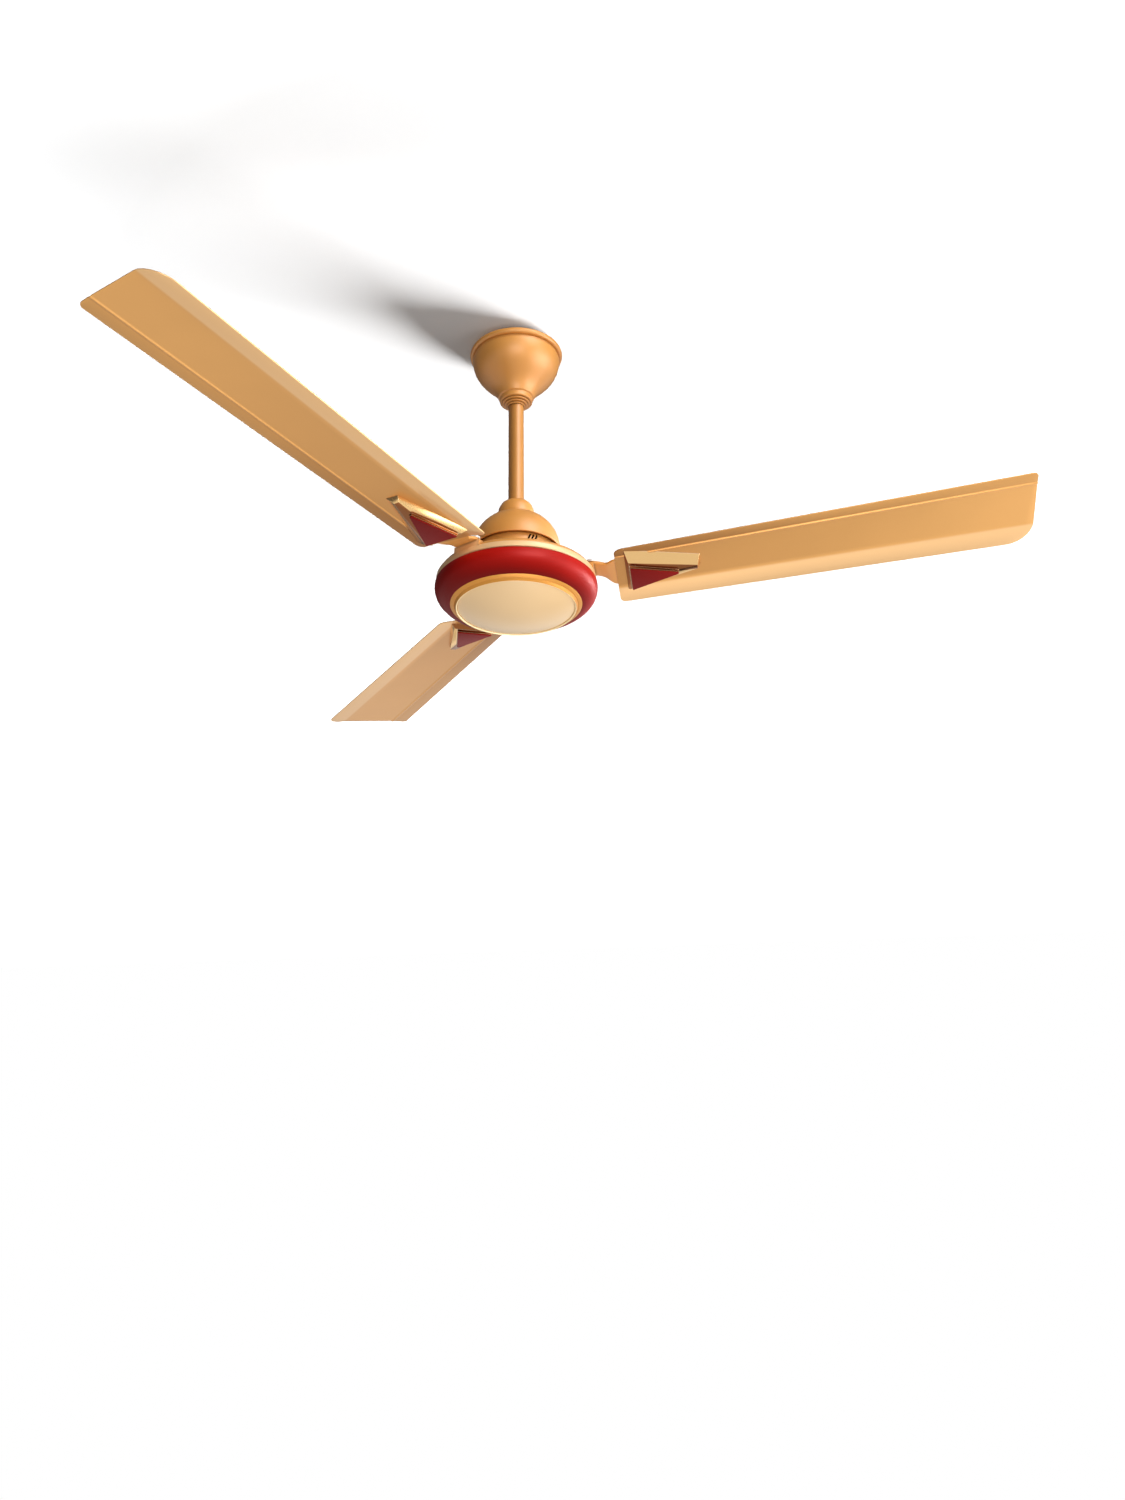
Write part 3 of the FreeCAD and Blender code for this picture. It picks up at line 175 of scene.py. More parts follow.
class FanShellSizes(bpy.types.PropertyGroup):
    """Sizes of the canopy and the cup."""
    rod: length("Rod diameter", "Outside of the down rod", 19.0)
    slide_gap: length("Slide gap", "Room between the rod and what slides on it", 0.4)
    wall: length("Wall", "Thickness of both shells", 1.6)
    rim: length("Canopy rim", "Widest diameter of the canopy", 118.0)
    lip_height: length("Lip height", "Height of the canopy's rolled lip", 8.0)
    lip_depth: length("Lip depth", "How far the lip stands out", 3.5)
    lip_groove: length("Lip groove", "Depth of the groove under the lip", 2.5)
    groove_height: length("Groove height", "Height of the groove under the lip", 4.5)
    bowl: length("Bowl", "Diameter to which the bowl heads from its top", 106.6)
    bowl_reach: length("Bowl reach", "How far down it heads there", 42.9)
    waist: length("Bell waist", "Diameter from which the bell heads to its foot", 58.8)
    waist_drop: length("Waist drop", "Height of that waist below the rim", 48.6)
    foot: length("Bell foot", "Diameter at the foot of the bell", 45.0)
    bowl_drop: length("Bell drop", "Foot of the bell below the rim", 69.0)
    neck: length("Canopy neck", "Diameter of the canopy's neck", 41.0)
    neck_height: length("Canopy neck height", "Height of the canopy's neck with its rings", 14.0)
    neck_wall: length("Neck wall", "Height of the neck above its rings", 7.5)
    neck_rings: IntProperty(name="Neck rings", description="Number of stepped rings under the neck", default=3, min=2)
    neck_foot: length("Neck foot", "Diameter of the lowest ring of the neck", 23.0)
    collar_wall: length("Collar wall", "Wall of the canopy's inner collar", 3.4)
    cup_top: length("Cup top", "Top of the cup below the rim", 225.0)
    cup_neck_height: length("Cup neck height", "Height of the cup's neck", 19.5)
    cup_neck: length("Cup neck", "Diameter of the cup's neck", 45.0)
    cup_brow: length("Cup brow", "Flat ring round the rod on top of the cup", 3.0)
    cup_ledge: length("Cup ledge", "Ledge between the neck and the dome", 2.0)
    cup_base: length("Cup base", "Diameter at the foot of the dome", 105.0)
    cup_drop: length("Cup drop", "Foot of the dome below the rim", 289.6)
    cup_centre: length("Cup curve centre", "Diameter on which the dome's curve is centred", 14.0)
    cup_lip_height: length("Cup lip height", "Height of the cup's lip", 2.4)
    cup_lip_depth: length("Cup lip depth", "How far the cup's lip stands out", 0.8)


class FanCoverSizes(bpy.types.PropertyGroup):
    """Sizes of the motor's upper cover."""
    top: length("Collar top", "Top of the collar below the rim", 288.0)
    collar: length("Collar", "Diameter of the collar", 96.0)
    collar_edge: length("Collar edge", "Chamfer round the top of the collar", 2.0)
    shoulder: length("Shoulder", "Diameter at the foot of the rounded shoulder", 184.0)
    shoulder_drop: length("Shoulder drop", "Foot of the shoulder below the rim", 328.0)
    shoulder_rise: length("Shoulder rise", "Height of the rounded shoulder", 13.0)
    flange: length("Flange", "Diameter of the flange", 188.0)
    flange_drop: length("Flange drop", "Lower face of the flange below the rim", 334.0)
    flange_edge: length("Flange edge", "Rounding of the flange's edge", 2.4)
    lip_bore: length("Lip bore", "Inside of the flange's turned-down lip", 180.8)
    lip: length("Lip", "How far the flange's lip turns down", 2.5)
    wall: length("Cover wall", "Thickness of the cover", 4.0)
    mouth: length("Shaft mouth", "Hole for the shaft", 29.0)
    seat: length("Bearing seat", "Diameter of the bearing's seat", 35.0)
    boss: length("Boss", "Diameter of the bearing's boss", 44.0)
    room: length("Winding room", "Diameter of the room over the winding", 140.0)
    room_drop: length("Room drop", "Top of the winding's room below the rim", 319.5)
    core: length("Core bore", "Bore that holds the turning core", 160.0)
    core_drop: length("Core drop", "Top of the core's bore below the rim", 325.0)
    slot_width: length("Slot width", "Width of a vent slot", 2.3)
    slot_height: length("Slot height", "Length of a vent slot", 13.0)
    slot_drop: length("Slot drop", "Middle of the vent slots below the rim", 298.7)
    slot_pitch: length("Slot pitch", "Spacing of the slots in a group", 4.2)
    slot_lean: angle("Slot lean", "Lean of the slots", -22.0)
    pad_start: length("Pad start", "Inner end of an arm's pad from the axis", 82.0)
    pad_end: length("Pad end", "Outer end of an arm's pad from the axis", 92.5)
    pad_width: length("Pad width", "Width of an arm's pad", 36.0)
    pad_drop: length("Pad drop", "Top of an arm's pad below the rim", 321.5)


class FanRingSizes(bpy.types.PropertyGroup):
    """Sizes of the ring, the bezel and the cap under the motor."""
    ring: length("Ring diameter", "Outside of the maroon ring", 190.8)
    top_drop: length("Ring top", "Upper edge of the ring below the flange", 3.3)
    middle_drop: length("Ring middle", "Widest place of the ring below the flange", 7.5)
    half_width: length("Ring half width", "Half width of the ring's rounded section", 23.4)
    half_height: length("Ring half height", "Half height of the ring's rounded section", 21.0)
    wall: length("Ring wall", "Thickness of the ring", 2.5)
    mouth: length("Ring mouth", "Diameter of the ring's lower opening", 154.0)
    plate_drop: length("Plate drop", "Underside of the ring's plate below the flange", 21.5)
    plate: length("Plate", "Thickness of the ring's plate", 3.0)
    plate_bore: length("Plate bore", "Hole in the ring's plate", 108.0)
    bezel_bore: length("Bezel bore", "Inside of the bezel", 137.0)
    bezel_drop: length("Bezel drop", "Height of the bezel under the ring", 4.0)
    bezel_lip: length("Bezel lip", "Width of the bezel's inner lip", 1.6)
    bezel_groove: length("Bezel groove", "Depth of the line round the bezel", 0.5)
    spigot: length("Spigot", "Diameter of the bezel's spigot", 146.0)
    spigot_wall: length("Spigot wall", "Wall of the bezel's spigot", 2.0)
    cap_bulge: length("Cap bulge", "Height of the cap's dome", 15.0)
    cap_wall: length("Cap wall", "Thickness of the cap", 2.0)
    cap_gap: length("Cap gap", "Gap round the cap", 0.2)
    cap_inset: length("Cap skirt inset", "How far the cap's skirt stands in", 1.4)


class FanBladeSizes(bpy.types.PropertyGroup):
    """Sizes of the blades, in the plane of their flat panel."""
    sweep: length("Sweep", "Diameter of the circle that the blade tips run on", 1208.0)
    root: length("Root", "Diameter on which the blades start", 236.0)
    root_drop: length("Root drop", "Blade root below the rim", 328.3)
    pitch: angle("Pitch", "Turn of the blade about its length", -8.2)
    rise: angle("Rise", "Rise of the blade towards its tip", 6.34)
    thickness: length("Thickness", "Sheet thickness", 1.2)
    root_lead: length("Root lead", "Leading edge from the middle, at the root", 46.5)
    root_trail: length("Root trail", "Trailing edge from the middle, at the root", 52.0)
    tip_lead: length("Tip lead", "Leading edge from the middle, at the tip", 63.5)
    tip_trail: length("Tip trail", "Trailing edge from the middle, at the tip", 61.0)
    tip_slant: length("Tip slant", "How far the leading corner of the tip stands back", 8.0)
    lead_drop: length("Lead drop", "Fall of the strip along the leading edge", 1.8)
    bead_height: length("Bead height", "Height of the pressed bead", 1.3)
    bead_width: length("Bead width", "Width of the pressed bead", 4.0)
    bead_share: share("Bead share", "Place of the bead across the blade", 0.145)
    flap_share: share("Flap share", "Width of the trailing flap across the blade", 0.235)
    flap_drop: length("Flap drop", "Fall of the trailing flap", 4.4)
    fold_round: length("Fold round", "Length of the bend at the flap", 5.0)
    bead_round: length("Bead round", "Length of the bends of the bead", 1.0)
    tip_lead_corner: length("Tip lead corner", "Radius of the tip's leading corner", 8.0)
    tip_trail_corner: length("Tip trail corner", "Radius of the tip's trailing corner", 30.0)
    root_lead_corner: length("Root lead corner", "Radius of the root's leading corner", 10.0)
    root_trail_corner: length("Root trail corner", "Radius of the root's trailing corner", 7.0)
    edge: length("Edge round", "Rounding of the sheet's edges", 0.35)


class FanTrimSizes(bpy.types.PropertyGroup):
    """Sizes of the raised trims and their inlays, in the plane of the blade."""
    root_gap: length("Root gap", "Trim from the blade's root", 11.0)
    reach: length("Trim length", "Length of the trim", 87.0)
    lead: length("Lead width", "Trim from the middle to its leading corner", 43.0)
    trail: length("Trail width", "Trim from the middle to its trailing corner", 34.0)
    tip_width: length("Tip width", "Width of the trim's tip", 18.0)
    tip_offset: length("Tip offset", "Middle of the trim's tip from the middle of the blade", -4.0)
    lead_height: length("Lead height", "Height of the trim at its leading corner", 8.6)
    trail_height: length("Trail height", "Height of the trim at its trailing corner", 5.6)
    tip_height: length("Tip height", "Height of the trim at its tip", 7.4)
    root_draft: length("Root draft", "Slope of the trim's root end", 3.5)
    lead_draft: length("Lead draft", "Slope of the leading wall", 16.0)
    trail_draft: length("Trail draft", "Slope of the trailing wall", 6.0)
    tip_draft: length("Tip draft", "Slope of the tip", 4.0)
    face_tip: length("Face tip", "Width of the lower face at the tip", 7.0)
    face_offset: length("Face offset", "Middle of the lower face's tip", 2.0)
    edge: length("Trim edge", "Rounding of the trim's edges", 1.3)
    inlay_gap: length("Inlay gap", "Edge of the raised seat round the inlay", 0.5)
    seat_height: length("Seat height", "Height of the raised seat under the inlay", 3.2)
    inlay_root: length("Inlay root", "Inlay from the trim's root end", 5.0)
    inlay_reach: length("Inlay length", "Length of the inlay", 55.0)
    inlay_lead: length("Inlay lead", "Inlay from the middle to its leading corner", 21.5)
    inlay_trail: length("Inlay trail", "Inlay from the middle to its trailing corner", 23.6)
    inlay_tip: length("Inlay tip", "Width of the inlay's tip", 3.0)
    inlay_offset: length("Inlay offset", "Middle of the inlay's tip", 2.8)
    inlay_thick: length("Inlay thickness", "Thickness of the inlay", 1.5)
    inlay_edge: length("Inlay edge", "Rounding of the inlay's edges", 0.7)


class FanArmSizes(bpy.types.PropertyGroup):
    """Sizes of the stamped blade arms."""
    thickness: length("Arm thickness", "Sheet thickness of the arms", 3.2)
    foot_start: length("Foot start", "Diameter on which the foot starts", 166.0)
    foot_end: length("Foot end", "Diameter on which the foot ends", 194.0)
    foot_drop: length("Foot drop", "Underside of the foot below the rim", 321.5)
    foot_width: length("Foot width", "Width of the foot", 32.0)
    waist: length("Waist", "Diameter on which the waist lies", 214.0)
    waist_drop: length("Waist drop", "Middle of the waist below the rim", 324.5)
    waist_width: length("Waist width", "Width of the waist", 27.0)
    setback: length("Bend setback", "Bend of the arm from the blade's root", 4.0)
    end_width: length("Blade end width", "Width of the arm at the blade's root", 46.0)
    tip_width: length("Arm tip width", "Width of the arm's tip", 26.0)
    reach: length("Arm reach", "Length of the arm along the blade", 74.0)
    lay_gap: length("Lay gap", "Gap between the arm and the blade", 0.02)
    edge: length("Arm edge", "Rounding of the arm's edges", 0.7)


class FanColours(bpy.types.PropertyGroup):
    """Colours of the finishes."""
    gold: colour("Gold paint", "Paint of the canopy, cup, rod and motor", 218, 148, 64)
    blade_gold: colour("Blade paint", "Paint of the blades", 232, 172, 102)
    gilt: colour("Gilt", "Polished plating of the trims", 245, 200, 136)
    gilt_satin: colour("Satin gilt", "Plating of the bezel", 200, 134, 48)
    maroon: colour("Maroon", "Lacquer of the ring", 146, 13, 6)
    inlay: colour("Inlay", "Lacquer of the inlays", 170, 28, 22)
    cream: colour("Cream", "Cap under the motor", 221, 184, 132)
    zinc: colour("Zinc", "Plated steel of the hanger", 172, 172, 168)
    # Screw heads near white: partly plating, partly a painted highlight in place of the chrome's reflection.
    bright: colour("Bright plate", "Plated screw heads", 246, 246, 244)
    steel: colour("Ground steel", "Shaft and bearings", 190, 191, 194)
    lamination: colour("Laminations", "Stacked electrical steel", 122, 124, 130)
    copper: colour("Copper", "Enamelled winding wire", 186, 96, 48)
    rubber: colour("Rubber", "Reel on the hook", 38, 38, 40)
    moulding: colour("Moulding", "Terminal block and capacitor", 222, 220, 210)
    cage: colour("Cage", "Bearing cages", 128, 118, 98)
    # Painted shade on the blades' leading strip and root, and painted light on their flaps.
    blade_strip_shade: colour("Blade strip", "Painted shade on the leading strip of the blades", 122, 74, 32)
    blade_root_shade: colour("Blade root", "Painted shade near the root of the blades", 166, 110, 58)
    blade_flap_light: colour("Blade flap", "Painted light on the flap of the blades", 250, 208, 156)
    # Painted shade inside the cover, and a painted highlight on its flange.
    cover_inside_shade: colour("Cover inside", "Painted shade inside the motor's cover and its slots", 40, 18, 8)
    cover_rim_highlight: colour("Cover rim", "Painted highlight on the cover's flange", 234, 188, 132)
    # Painted shade and dark reflection on the trims' lower face and root end.
    gilt_painted_shade: colour("Dark gilt", "Painted shade and dark reflection on the trims' lower face and root end", 150, 92, 50)
    # Rubbed trim edges, made bright also as a painted highlight.
    gilt_rub_and_highlight: colour("Rubbed gilt with painted highlight", "Edges of the trims", 255, 236, 206)
    # Painted highlight on the bezel's inner lip.
    bezel_lip: colour("Bezel lip", "Painted highlight on the bezel's inner lip", 252, 226, 176)


class FanStage(bpy.types.PropertyGroup):
    """Camera, lamps and background."""
    azimuth: angle("Azimuth", "Turn of the camera about the rod", 7.52)
    elevation: angle("Elevation", "Camera above the horizon", -30.46)
    distance: FloatProperty(name="Distance", description="Camera from its target", default=1.757, unit="LENGTH")
    target: length("Target", "Height that the camera looks at", -250.0)
    lens: FloatProperty(name="Lens", description="Focal length in millimetres", default=35.107, unit="CAMERA")
    shift_x: FloatProperty(name="Shift X", description="Sideways shift of the frame", default=0.0309)
    shift_y: FloatProperty(name="Shift Y", description="Upward shift of the frame", default=-0.1521)
    ceiling: length("Ceiling", "Ceiling above the canopy's rim", 5.0)
    floor: length("Floor", "Floor of the room", -2600.0)


class Build:
    """What the operators share while the fan is dressed."""
    finishes = {}


def clear_selection():
    """Object mode with nothing selected."""
    if bpy.context.mode != "OBJECT":
        bpy.ops.object.mode_set(mode="OBJECT")
    bpy.ops.object.select_all(action="DESELECT")


def pick(piece):
    """Select one piece alone and make it the active one."""
    clear_selection()
    piece.select_set(True)
    bpy.context.view_layer.objects.active = piece


def open_new(name):
    """Name the piece that was just added, and select all of its mesh in edit mode."""
    piece = bpy.context.object
    piece.name = name
    piece.data.name = name
    bpy.ops.object.mode_set(mode="EDIT")
    bpy.ops.mesh.select_all(action="SELECT")
    return piece


def extrude(move):
    """Extrude what is selected in edit mode."""
    bpy.ops.mesh.extrude_region_move(TRANSFORM_OT_translate={"value": move})


def start_line(name, points):
    """A new mesh, in edit mode, of one line drawn through points."""
    clear_selection()
    bpy.ops.mesh.primitive_plane_add(size=MM)
    piece = open_new(name)
    bpy.ops.mesh.merge(type="CENTER")
    bpy.ops.transform.translate(value=points[0])
    for before, after in zip(points, points[1:]):
        extrude(after - before)
    bpy.ops.mesh.select_all(action="SELECT")
    return piece


def close_up():
    """Weld the open mesh, point its faces outward and leave edit mode."""
    bpy.ops.mesh.select_all(action="SELECT")
    bpy.ops.mesh.remove_doubles(threshold=WELD)
    bpy.ops.mesh.normals_make_consistent(inside=False)
    bpy.ops.object.mode_set(mode="OBJECT")


def slab(name, corners, run):
    """A closed plate between an outline and its copy at the end of a run."""
    piece = start_line(name, corners)
    bpy.ops.mesh.edge_face_add()
    extrude(run)
    close_up()
    return piece


def apply_modifier(piece, kind, **settings):
    """Add a modifier and apply it."""
    modifier = piece.modifiers.new(kind.title(), kind)
    for name, value in settings.items():
        setattr(modifier, name, value)
    bpy.context.view_layer.objects.active = piece
    bpy.ops.object.modifier_apply(modifier=modifier.name)


def round_edges(piece, width, segments=3, limit=30):
    """Round the sharp edges of a piece."""
    apply_modifier(piece, "BEVEL", width=width, segments=segments, limit_method="ANGLE",
                   angle_limit=math.radians(limit), harden_normals=False)


def smooth(piece, limit=32):
    """Shade a piece smooth, but for its sharp edges."""
    pick(piece)
    bpy.ops.object.shade_smooth_by_angle(angle=math.radians(limit))


def dress(piece, body, slot, finish, *nodes):
    """Give a piece its finish and body, and let it stand for its solids."""
    piece.data.materials.clear()
    piece.data.materials.append(Build.finishes[finish])
    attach(piece, body)
    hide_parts(*nodes)


def at(radius, z):
    """A point of a turned outline."""
    return Vector((radius, 0, z))


def arc(radius, z, half_width, half_height, start, end):
    """Points along an ellipse, from one angle in degrees to another."""
    turns = [math.radians(start + (end - start) * step / ARC_STEPS) for step in range(ARC_STEPS + 1)]
    return [at(radius + half_width * math.cos(turn), z + half_height * math.sin(turn)) for turn in turns]


def bent(start, first, second, end):
    """Points along a curve that leaves its start towards one place and comes to its end from another."""
    line = []
    for step in range(ARC_STEPS + 1):
        t = step / ARC_STEPS
        line.append(start * (1 - t) ** 3 + first * (3 * t * (1 - t) ** 2) + second * (3 * t * t * (1 - t))
                    + end * t ** 3)
    return line


def soften(points, reach, closed=True, sharper_than=14):
    """Round the corners of a line that turn by more than an angle in degrees."""
    line = []
    count = len(points)
    for index, corner in enumerate(points):
        back = points[index - 1] - corner
        ahead = points[(index + 1) % count] - corner
        end = not closed and index in (0, count - 1)
        if end or min(back.length, ahead.length) < WELD or back.angle(-ahead) < math.radians(sharper_than):
            line.append(corner)
            continue
        cut = min(reach, back.length * CORNER_SHARE, ahead.length * CORNER_SHARE)
        start = corner + back.normalized() * cut
        stop = corner + ahead.normalized() * cut
        for step in range(CORNER_STEPS + 1):
            t = step / CORNER_STEPS
            line.append(start * (1 - t) ** 2 + corner * (2 * t * (1 - t)) + stop * t ** 2)
    return line


def turned(name, outline):
    """A closed outline with softened corners, spun about the fan's axis."""
    line = soften(outline, CORNERS[name] * MM)
    piece = start_line(name, line + line[:1])
    bpy.ops.mesh.spin(steps=SPIN_STEPS, angle=math.tau, center=(0, 0, 0), axis=(0, 0, 1))
    close_up()
    smooth(piece)
    return piece


def select_points(piece, places):
    """Select the vertices of the edited piece that lie at places."""
    mesh = bmesh.from_edit_mesh(piece.data)
    for vertex in mesh.verts:
        vertex.select = any((vertex.co - place).length < NEAR for place in places)
    mesh.select_flush_mode()
    bmesh.update_edit_mesh(piece.data)


def move_points(piece, pairs):
    """Move vertices of the edited piece from old places to new ones."""
    for old, new in pairs:
        select_points(piece, [old])
        bpy.ops.transform.translate(value=new - old)


def raised_block(name, base, bottom):
    """A block in edit mode between two outlines of four corners."""
    piece = start_line(name, base)
    bpy.ops.mesh.edge_face_add()
    fall = UP * (bottom[0].z - base[0].z)
    extrude(fall)
    move_points(piece, [(before + fall, after) for before, after in zip(base, bottom)])
    select_points(piece, bottom)
    return piece


def blade_turn(index):
    """The turn from the first blade to another one."""
    return Matrix.Rotation(math.tau * index / BLADE_COUNT, 4, "Z")


def blade_place(index):
    """Where the plane of a blade's flat panel stands."""
    sizes = bpy.context.scene.fan_blade
    tilt = Matrix.Rotation(-sizes.rise, 4, "Y") @ Matrix.Rotation(sizes.pitch, 4, "X")
    return blade_turn(index) @ Matrix.Translation((sizes.root / 2, 0, -sizes.root_drop)) @ tilt


def three_copies(form, name, place, slot, finish, solid):
    """Copies of a form on the rotor, one for each blade and with its own mesh, and the form deleted."""
    for index in range(BLADE_COUNT):
        pick(form)
        bpy.ops.object.duplicate()
        piece = bpy.context.object
        piece.name = "%s_%d" % (name, index + 1)
        piece.data.name = piece.name
        piece.matrix_world = place(index)
        bpy.ops.object.transform_apply(location=True, rotation=True, scale=True)
        dress(piece, "rotor", slot, finish, "%s_%d" % (solid, index + 1))
    pick(form)
    bpy.ops.object.delete()


def mark(piece, chosen, rim=None):
    """Mark the chosen faces of a piece, and those of its rim, in its painted light map, which places painted shade or
    painted highlights.
    """
    marks = piece.data.uv_layers.new(name="tone_map")
    for face in piece.data.polygons:
        for loop in face.loop_indices:
            marks.data[loop].uv = (float(chosen(face)), float(rim(face)) if rim else 0.0)


def link(tree, value, socket):
    """Set a socket, or link it to another one."""
    if isinstance(value, bpy.types.NodeSocket):
        tree.links.new(value, socket)
    else:
        socket.default_value = value


def node(tree, kind, settings=None, **inputs):
    """A shader node with its settings, and its inputs set or linked by name."""
    made = tree.nodes.new("ShaderNode" + kind)
    for name, value in (settings or {}).items():
        setattr(made, name, value)
    for name, value in inputs.items():
        link(tree, value, made.inputs[name.replace("_", " ")])
    return made


def joined(tree, kind, operation, *values):
    """The result of a sum, a product or the like, on numbers or on vectors."""
    made = node(tree, kind, {"operation": operation})
    for value, socket in zip(values, made.inputs):
        link(tree, value, socket)
    return next(socket for socket in made.outputs if socket.enabled)


def spread(tree, value, low, high, from_low=0.0, from_high=1.0):
    """A value stretched from one range to another."""
    return node(tree, "MapRange", {"clamp": True}, Value=value, From_Min=from_low, From_Max=from_high, To_Min=low,
                To_Max=high).outputs["Result"]


def ramp(tree, value, stops):
    """A grey level that runs through stops of a place and a level, with places up to the last one."""
    reach = stops[-1][0]
    made = node(tree, "ValToRGB", None, Fac=spread(tree, value, 0.0, 1.0, 0.0, reach))
    points = made.color_ramp.elements
    while len(points) < len(stops):
        points.new(1.0)
    for point, (place, level) in zip(points, stops):
        point.position = place / reach
        point.color = (level, level, level, 1)
    return made.outputs["Color"]


def blended(tree, factor, first, second):
    """Two colours mixed by a factor."""
    made = node(tree, "Mix", {"data_type": "RGBA"}, Factor=factor)
    for value, socket in ((first, made.inputs[6]), (second, made.inputs[7])):
        link(tree, value if isinstance(value, bpy.types.NodeSocket) else (*value, 1), socket)
    return made.outputs[2]


def blended_level(tree, factor, first, second):
    """Two levels mixed by a factor."""
    made = node(tree, "Mix", {"data_type": "FLOAT"}, Factor=factor)
    link(tree, first, made.inputs[2])
    link(tree, second, made.inputs[3])
    return made.outputs[0]


def blended_shader(tree, factor, first, second):
    """Two shaders mixed by a factor."""
    made = node(tree, "MixShader", None, Fac=factor)
    link(tree, first, made.inputs[1])
    link(tree, second, made.inputs[2])
    return made.outputs["Shader"]


def white_glow(tree, strength):
    """A shader that gives white light."""
    return node(tree, "Emission", None, Color=WHITE, Strength=strength).outputs["Emission"]


def bare_material(name):
    """A new material, and its empty tree."""
    material = bpy.data.materials.new(name)
    material.use_nodes = True
    material.node_tree.nodes.clear()
    return material, material.node_tree


def edge_mask(tree, most):
    """A mask that reaches its most on edges and is 0 on flat surfaces; it marks wear, and on the gilt trims also a
    painted highlight.
    """
    soft = node(tree, "Bevel", {"samples": 6}, Radius=RUB_AND_HIGHLIGHT_WIDTH).outputs["Normal"]
    plain = node(tree, "NewGeometry").outputs["Normal"]
    return spread(tree, joined(tree, "VectorMath", "DOT_PRODUCT", soft, plain), most, 0.0, 0.80, 0.999)


def tinted(base, factor):
    """A colour made lighter or darker."""
    return tuple(min(level * factor, 1.0) for level in base)


def finish(name, base, metallic=0.0, roughness=(0.3, 0.4), coat=0.0, specular=0.5, tone=0.05, tone_scale=9.0,
           grain=(1200.0, 0.05), stretch=(1, 1, 1), flake=0.0, bands=None, crevice_shade=0.0, edge=0.2, edge_wear_and_highlight=None,
           painted_light=None):
    """A painted, plated or moulded finish with broad tone, fine grain, worn edges that may also carry a painted
    highlight, painted shade in its crevices and any painted light or shade that it is given.
    """
    material, tree = bare_material(name)
    shader = node(tree, "BsdfPrincipled", None, Metallic=metallic, Coat_Weight=coat, Coat_Roughness=COAT_ROUGHNESS,
                  Specular_IOR_Level=specular)
    node(tree, "OutputMaterial", None, Surface=shader.outputs["BSDF"])
    place = node(tree, "TexCoord").outputs["Object"]
    laid = node(tree, "Mapping", None, Vector=place, Scale=stretch).outputs["Vector"]
    broad = node(tree, "TexNoise", None, Vector=place, Scale=tone_scale, Detail=3.0).outputs["Fac"]
    fine = node(tree, "TexNoise", None, Vector=laid, Scale=grain[0], Detail=2.0).outputs["Fac"]
    shade = blended(tree, spread(tree, broad, 0.0, 1.0, 0.3, 0.7), tinted(base, 1 - tone), tinted(base, 1 + tone))
    if flake:
        spark = node(tree, "TexVoronoi", None, Vector=place, Scale=FLAKE_SCALE).outputs["Color"]
        glint = node(tree, "SeparateColor", None, Color=spark).outputs["Red"]
        shade = blended(tree, spread(tree, glint, 0.0, flake, 0.55, 1.0), shade, tinted(base, 1.5))
    # Painted light and shade that a piece's own map places.
    if painted_light:
        shade = painted_light(tree, shade)
    # Painted shade: the colour turns dark where ambient occlusion finds a crevice or groove.
    if crevice_shade:
        room = node(tree, "AmbientOcclusion", {"samples": 8}, Distance=CREVICE_SHADE_DEPTH).outputs["AO"]
        shade = blended(tree, spread(tree, room, crevice_shade, 0.0, 0.25, 0.85), shade, tinted(base, 0.22))
    # Worn edges turn lighter; on the gilt trims the near-white edge colour is also a painted highlight.
    shade = blended(tree, edge_mask(tree, edge), shade, edge_wear_and_highlight or tinted(base, 1.25))
    relief = fine
    if bands:
        relief = node(tree, "TexWave", {"bands_direction": bands[0]}, Vector=place, Scale=bands[1],
                      Distortion=0.0).outputs["Fac"]
        shade = blended(tree, spread(tree, relief, 0.45, 0.0), shade, tinted(base, 0.35))
    link(tree, shade, shader.inputs["Base Color"])
    link(tree, spread(tree, fine, roughness[0], roughness[1], 0.25, 0.75), shader.inputs["Roughness"])
    bump = node(tree, "Bump", None, Height=relief, Strength=grain[1], Distance=GRAIN_DEPTH)
    link(tree, bump.outputs["Normal"], shader.inputs["Normal"])
    Build.finishes[name] = material


def map_spot(tree, name):
    """The two coordinates of a piece's own map."""
    place = node(tree, "UVMap", {"uv_map": name}).outputs["UV"]
    spot = node(tree, "SeparateXYZ", None, Vector=place)
    return spot.outputs["X"], spot.outputs["Y"]


def blade_painted_shading(tree, shade):
    """Painted shade on the leading strip and near the root, and painted light on the flap."""
    sizes = bpy.context.scene.fan_blade
    tints = bpy.context.scene.fan_colours
    along, across = map_spot(tree, "blade_map")
    bead, fold = sizes.bead_share, 1 - sizes.flap_share
    strip = joined(tree, "Math", "MULTIPLY", spread(tree, across, 1.0, 0.0, bead, bead + 0.03),
                   spread(tree, along, 0.75, 0.20, 0.0, 0.5))
    shade = blended(tree, strip, shade, tints.blade_strip_shade)
    panel = joined(tree, "Math", "MULTIPLY", spread(tree, along, 0.46, 0.0, 0.05, 0.8),
                   spread(tree, across, 1.0, 0.0, 0.70, fold))
    shade = blended(tree, panel, shade, tints.blade_root_shade)
    return blended(tree, spread(tree, across, 0.0, 0.6, fold - 0.01, fold + 0.02), shade, tints.blade_flap_light)


def marked_painted_light(tone, rim_painted_light=None):
    """A finish that turns to painted shade or a painted highlight on the faces that a piece's painted light map marks.
    """
    def work(tree, shade):
        chosen, rim = map_spot(tree, "tone_map")
        shade = blended(tree, chosen, shade, tone)
        return blended(tree, rim, shade, rim_painted_light) if rim_painted_light else shade
    return work


class FanOperator:
    """Base of the fan's operators."""
    bl_options = {"REGISTER", "UNDO"}


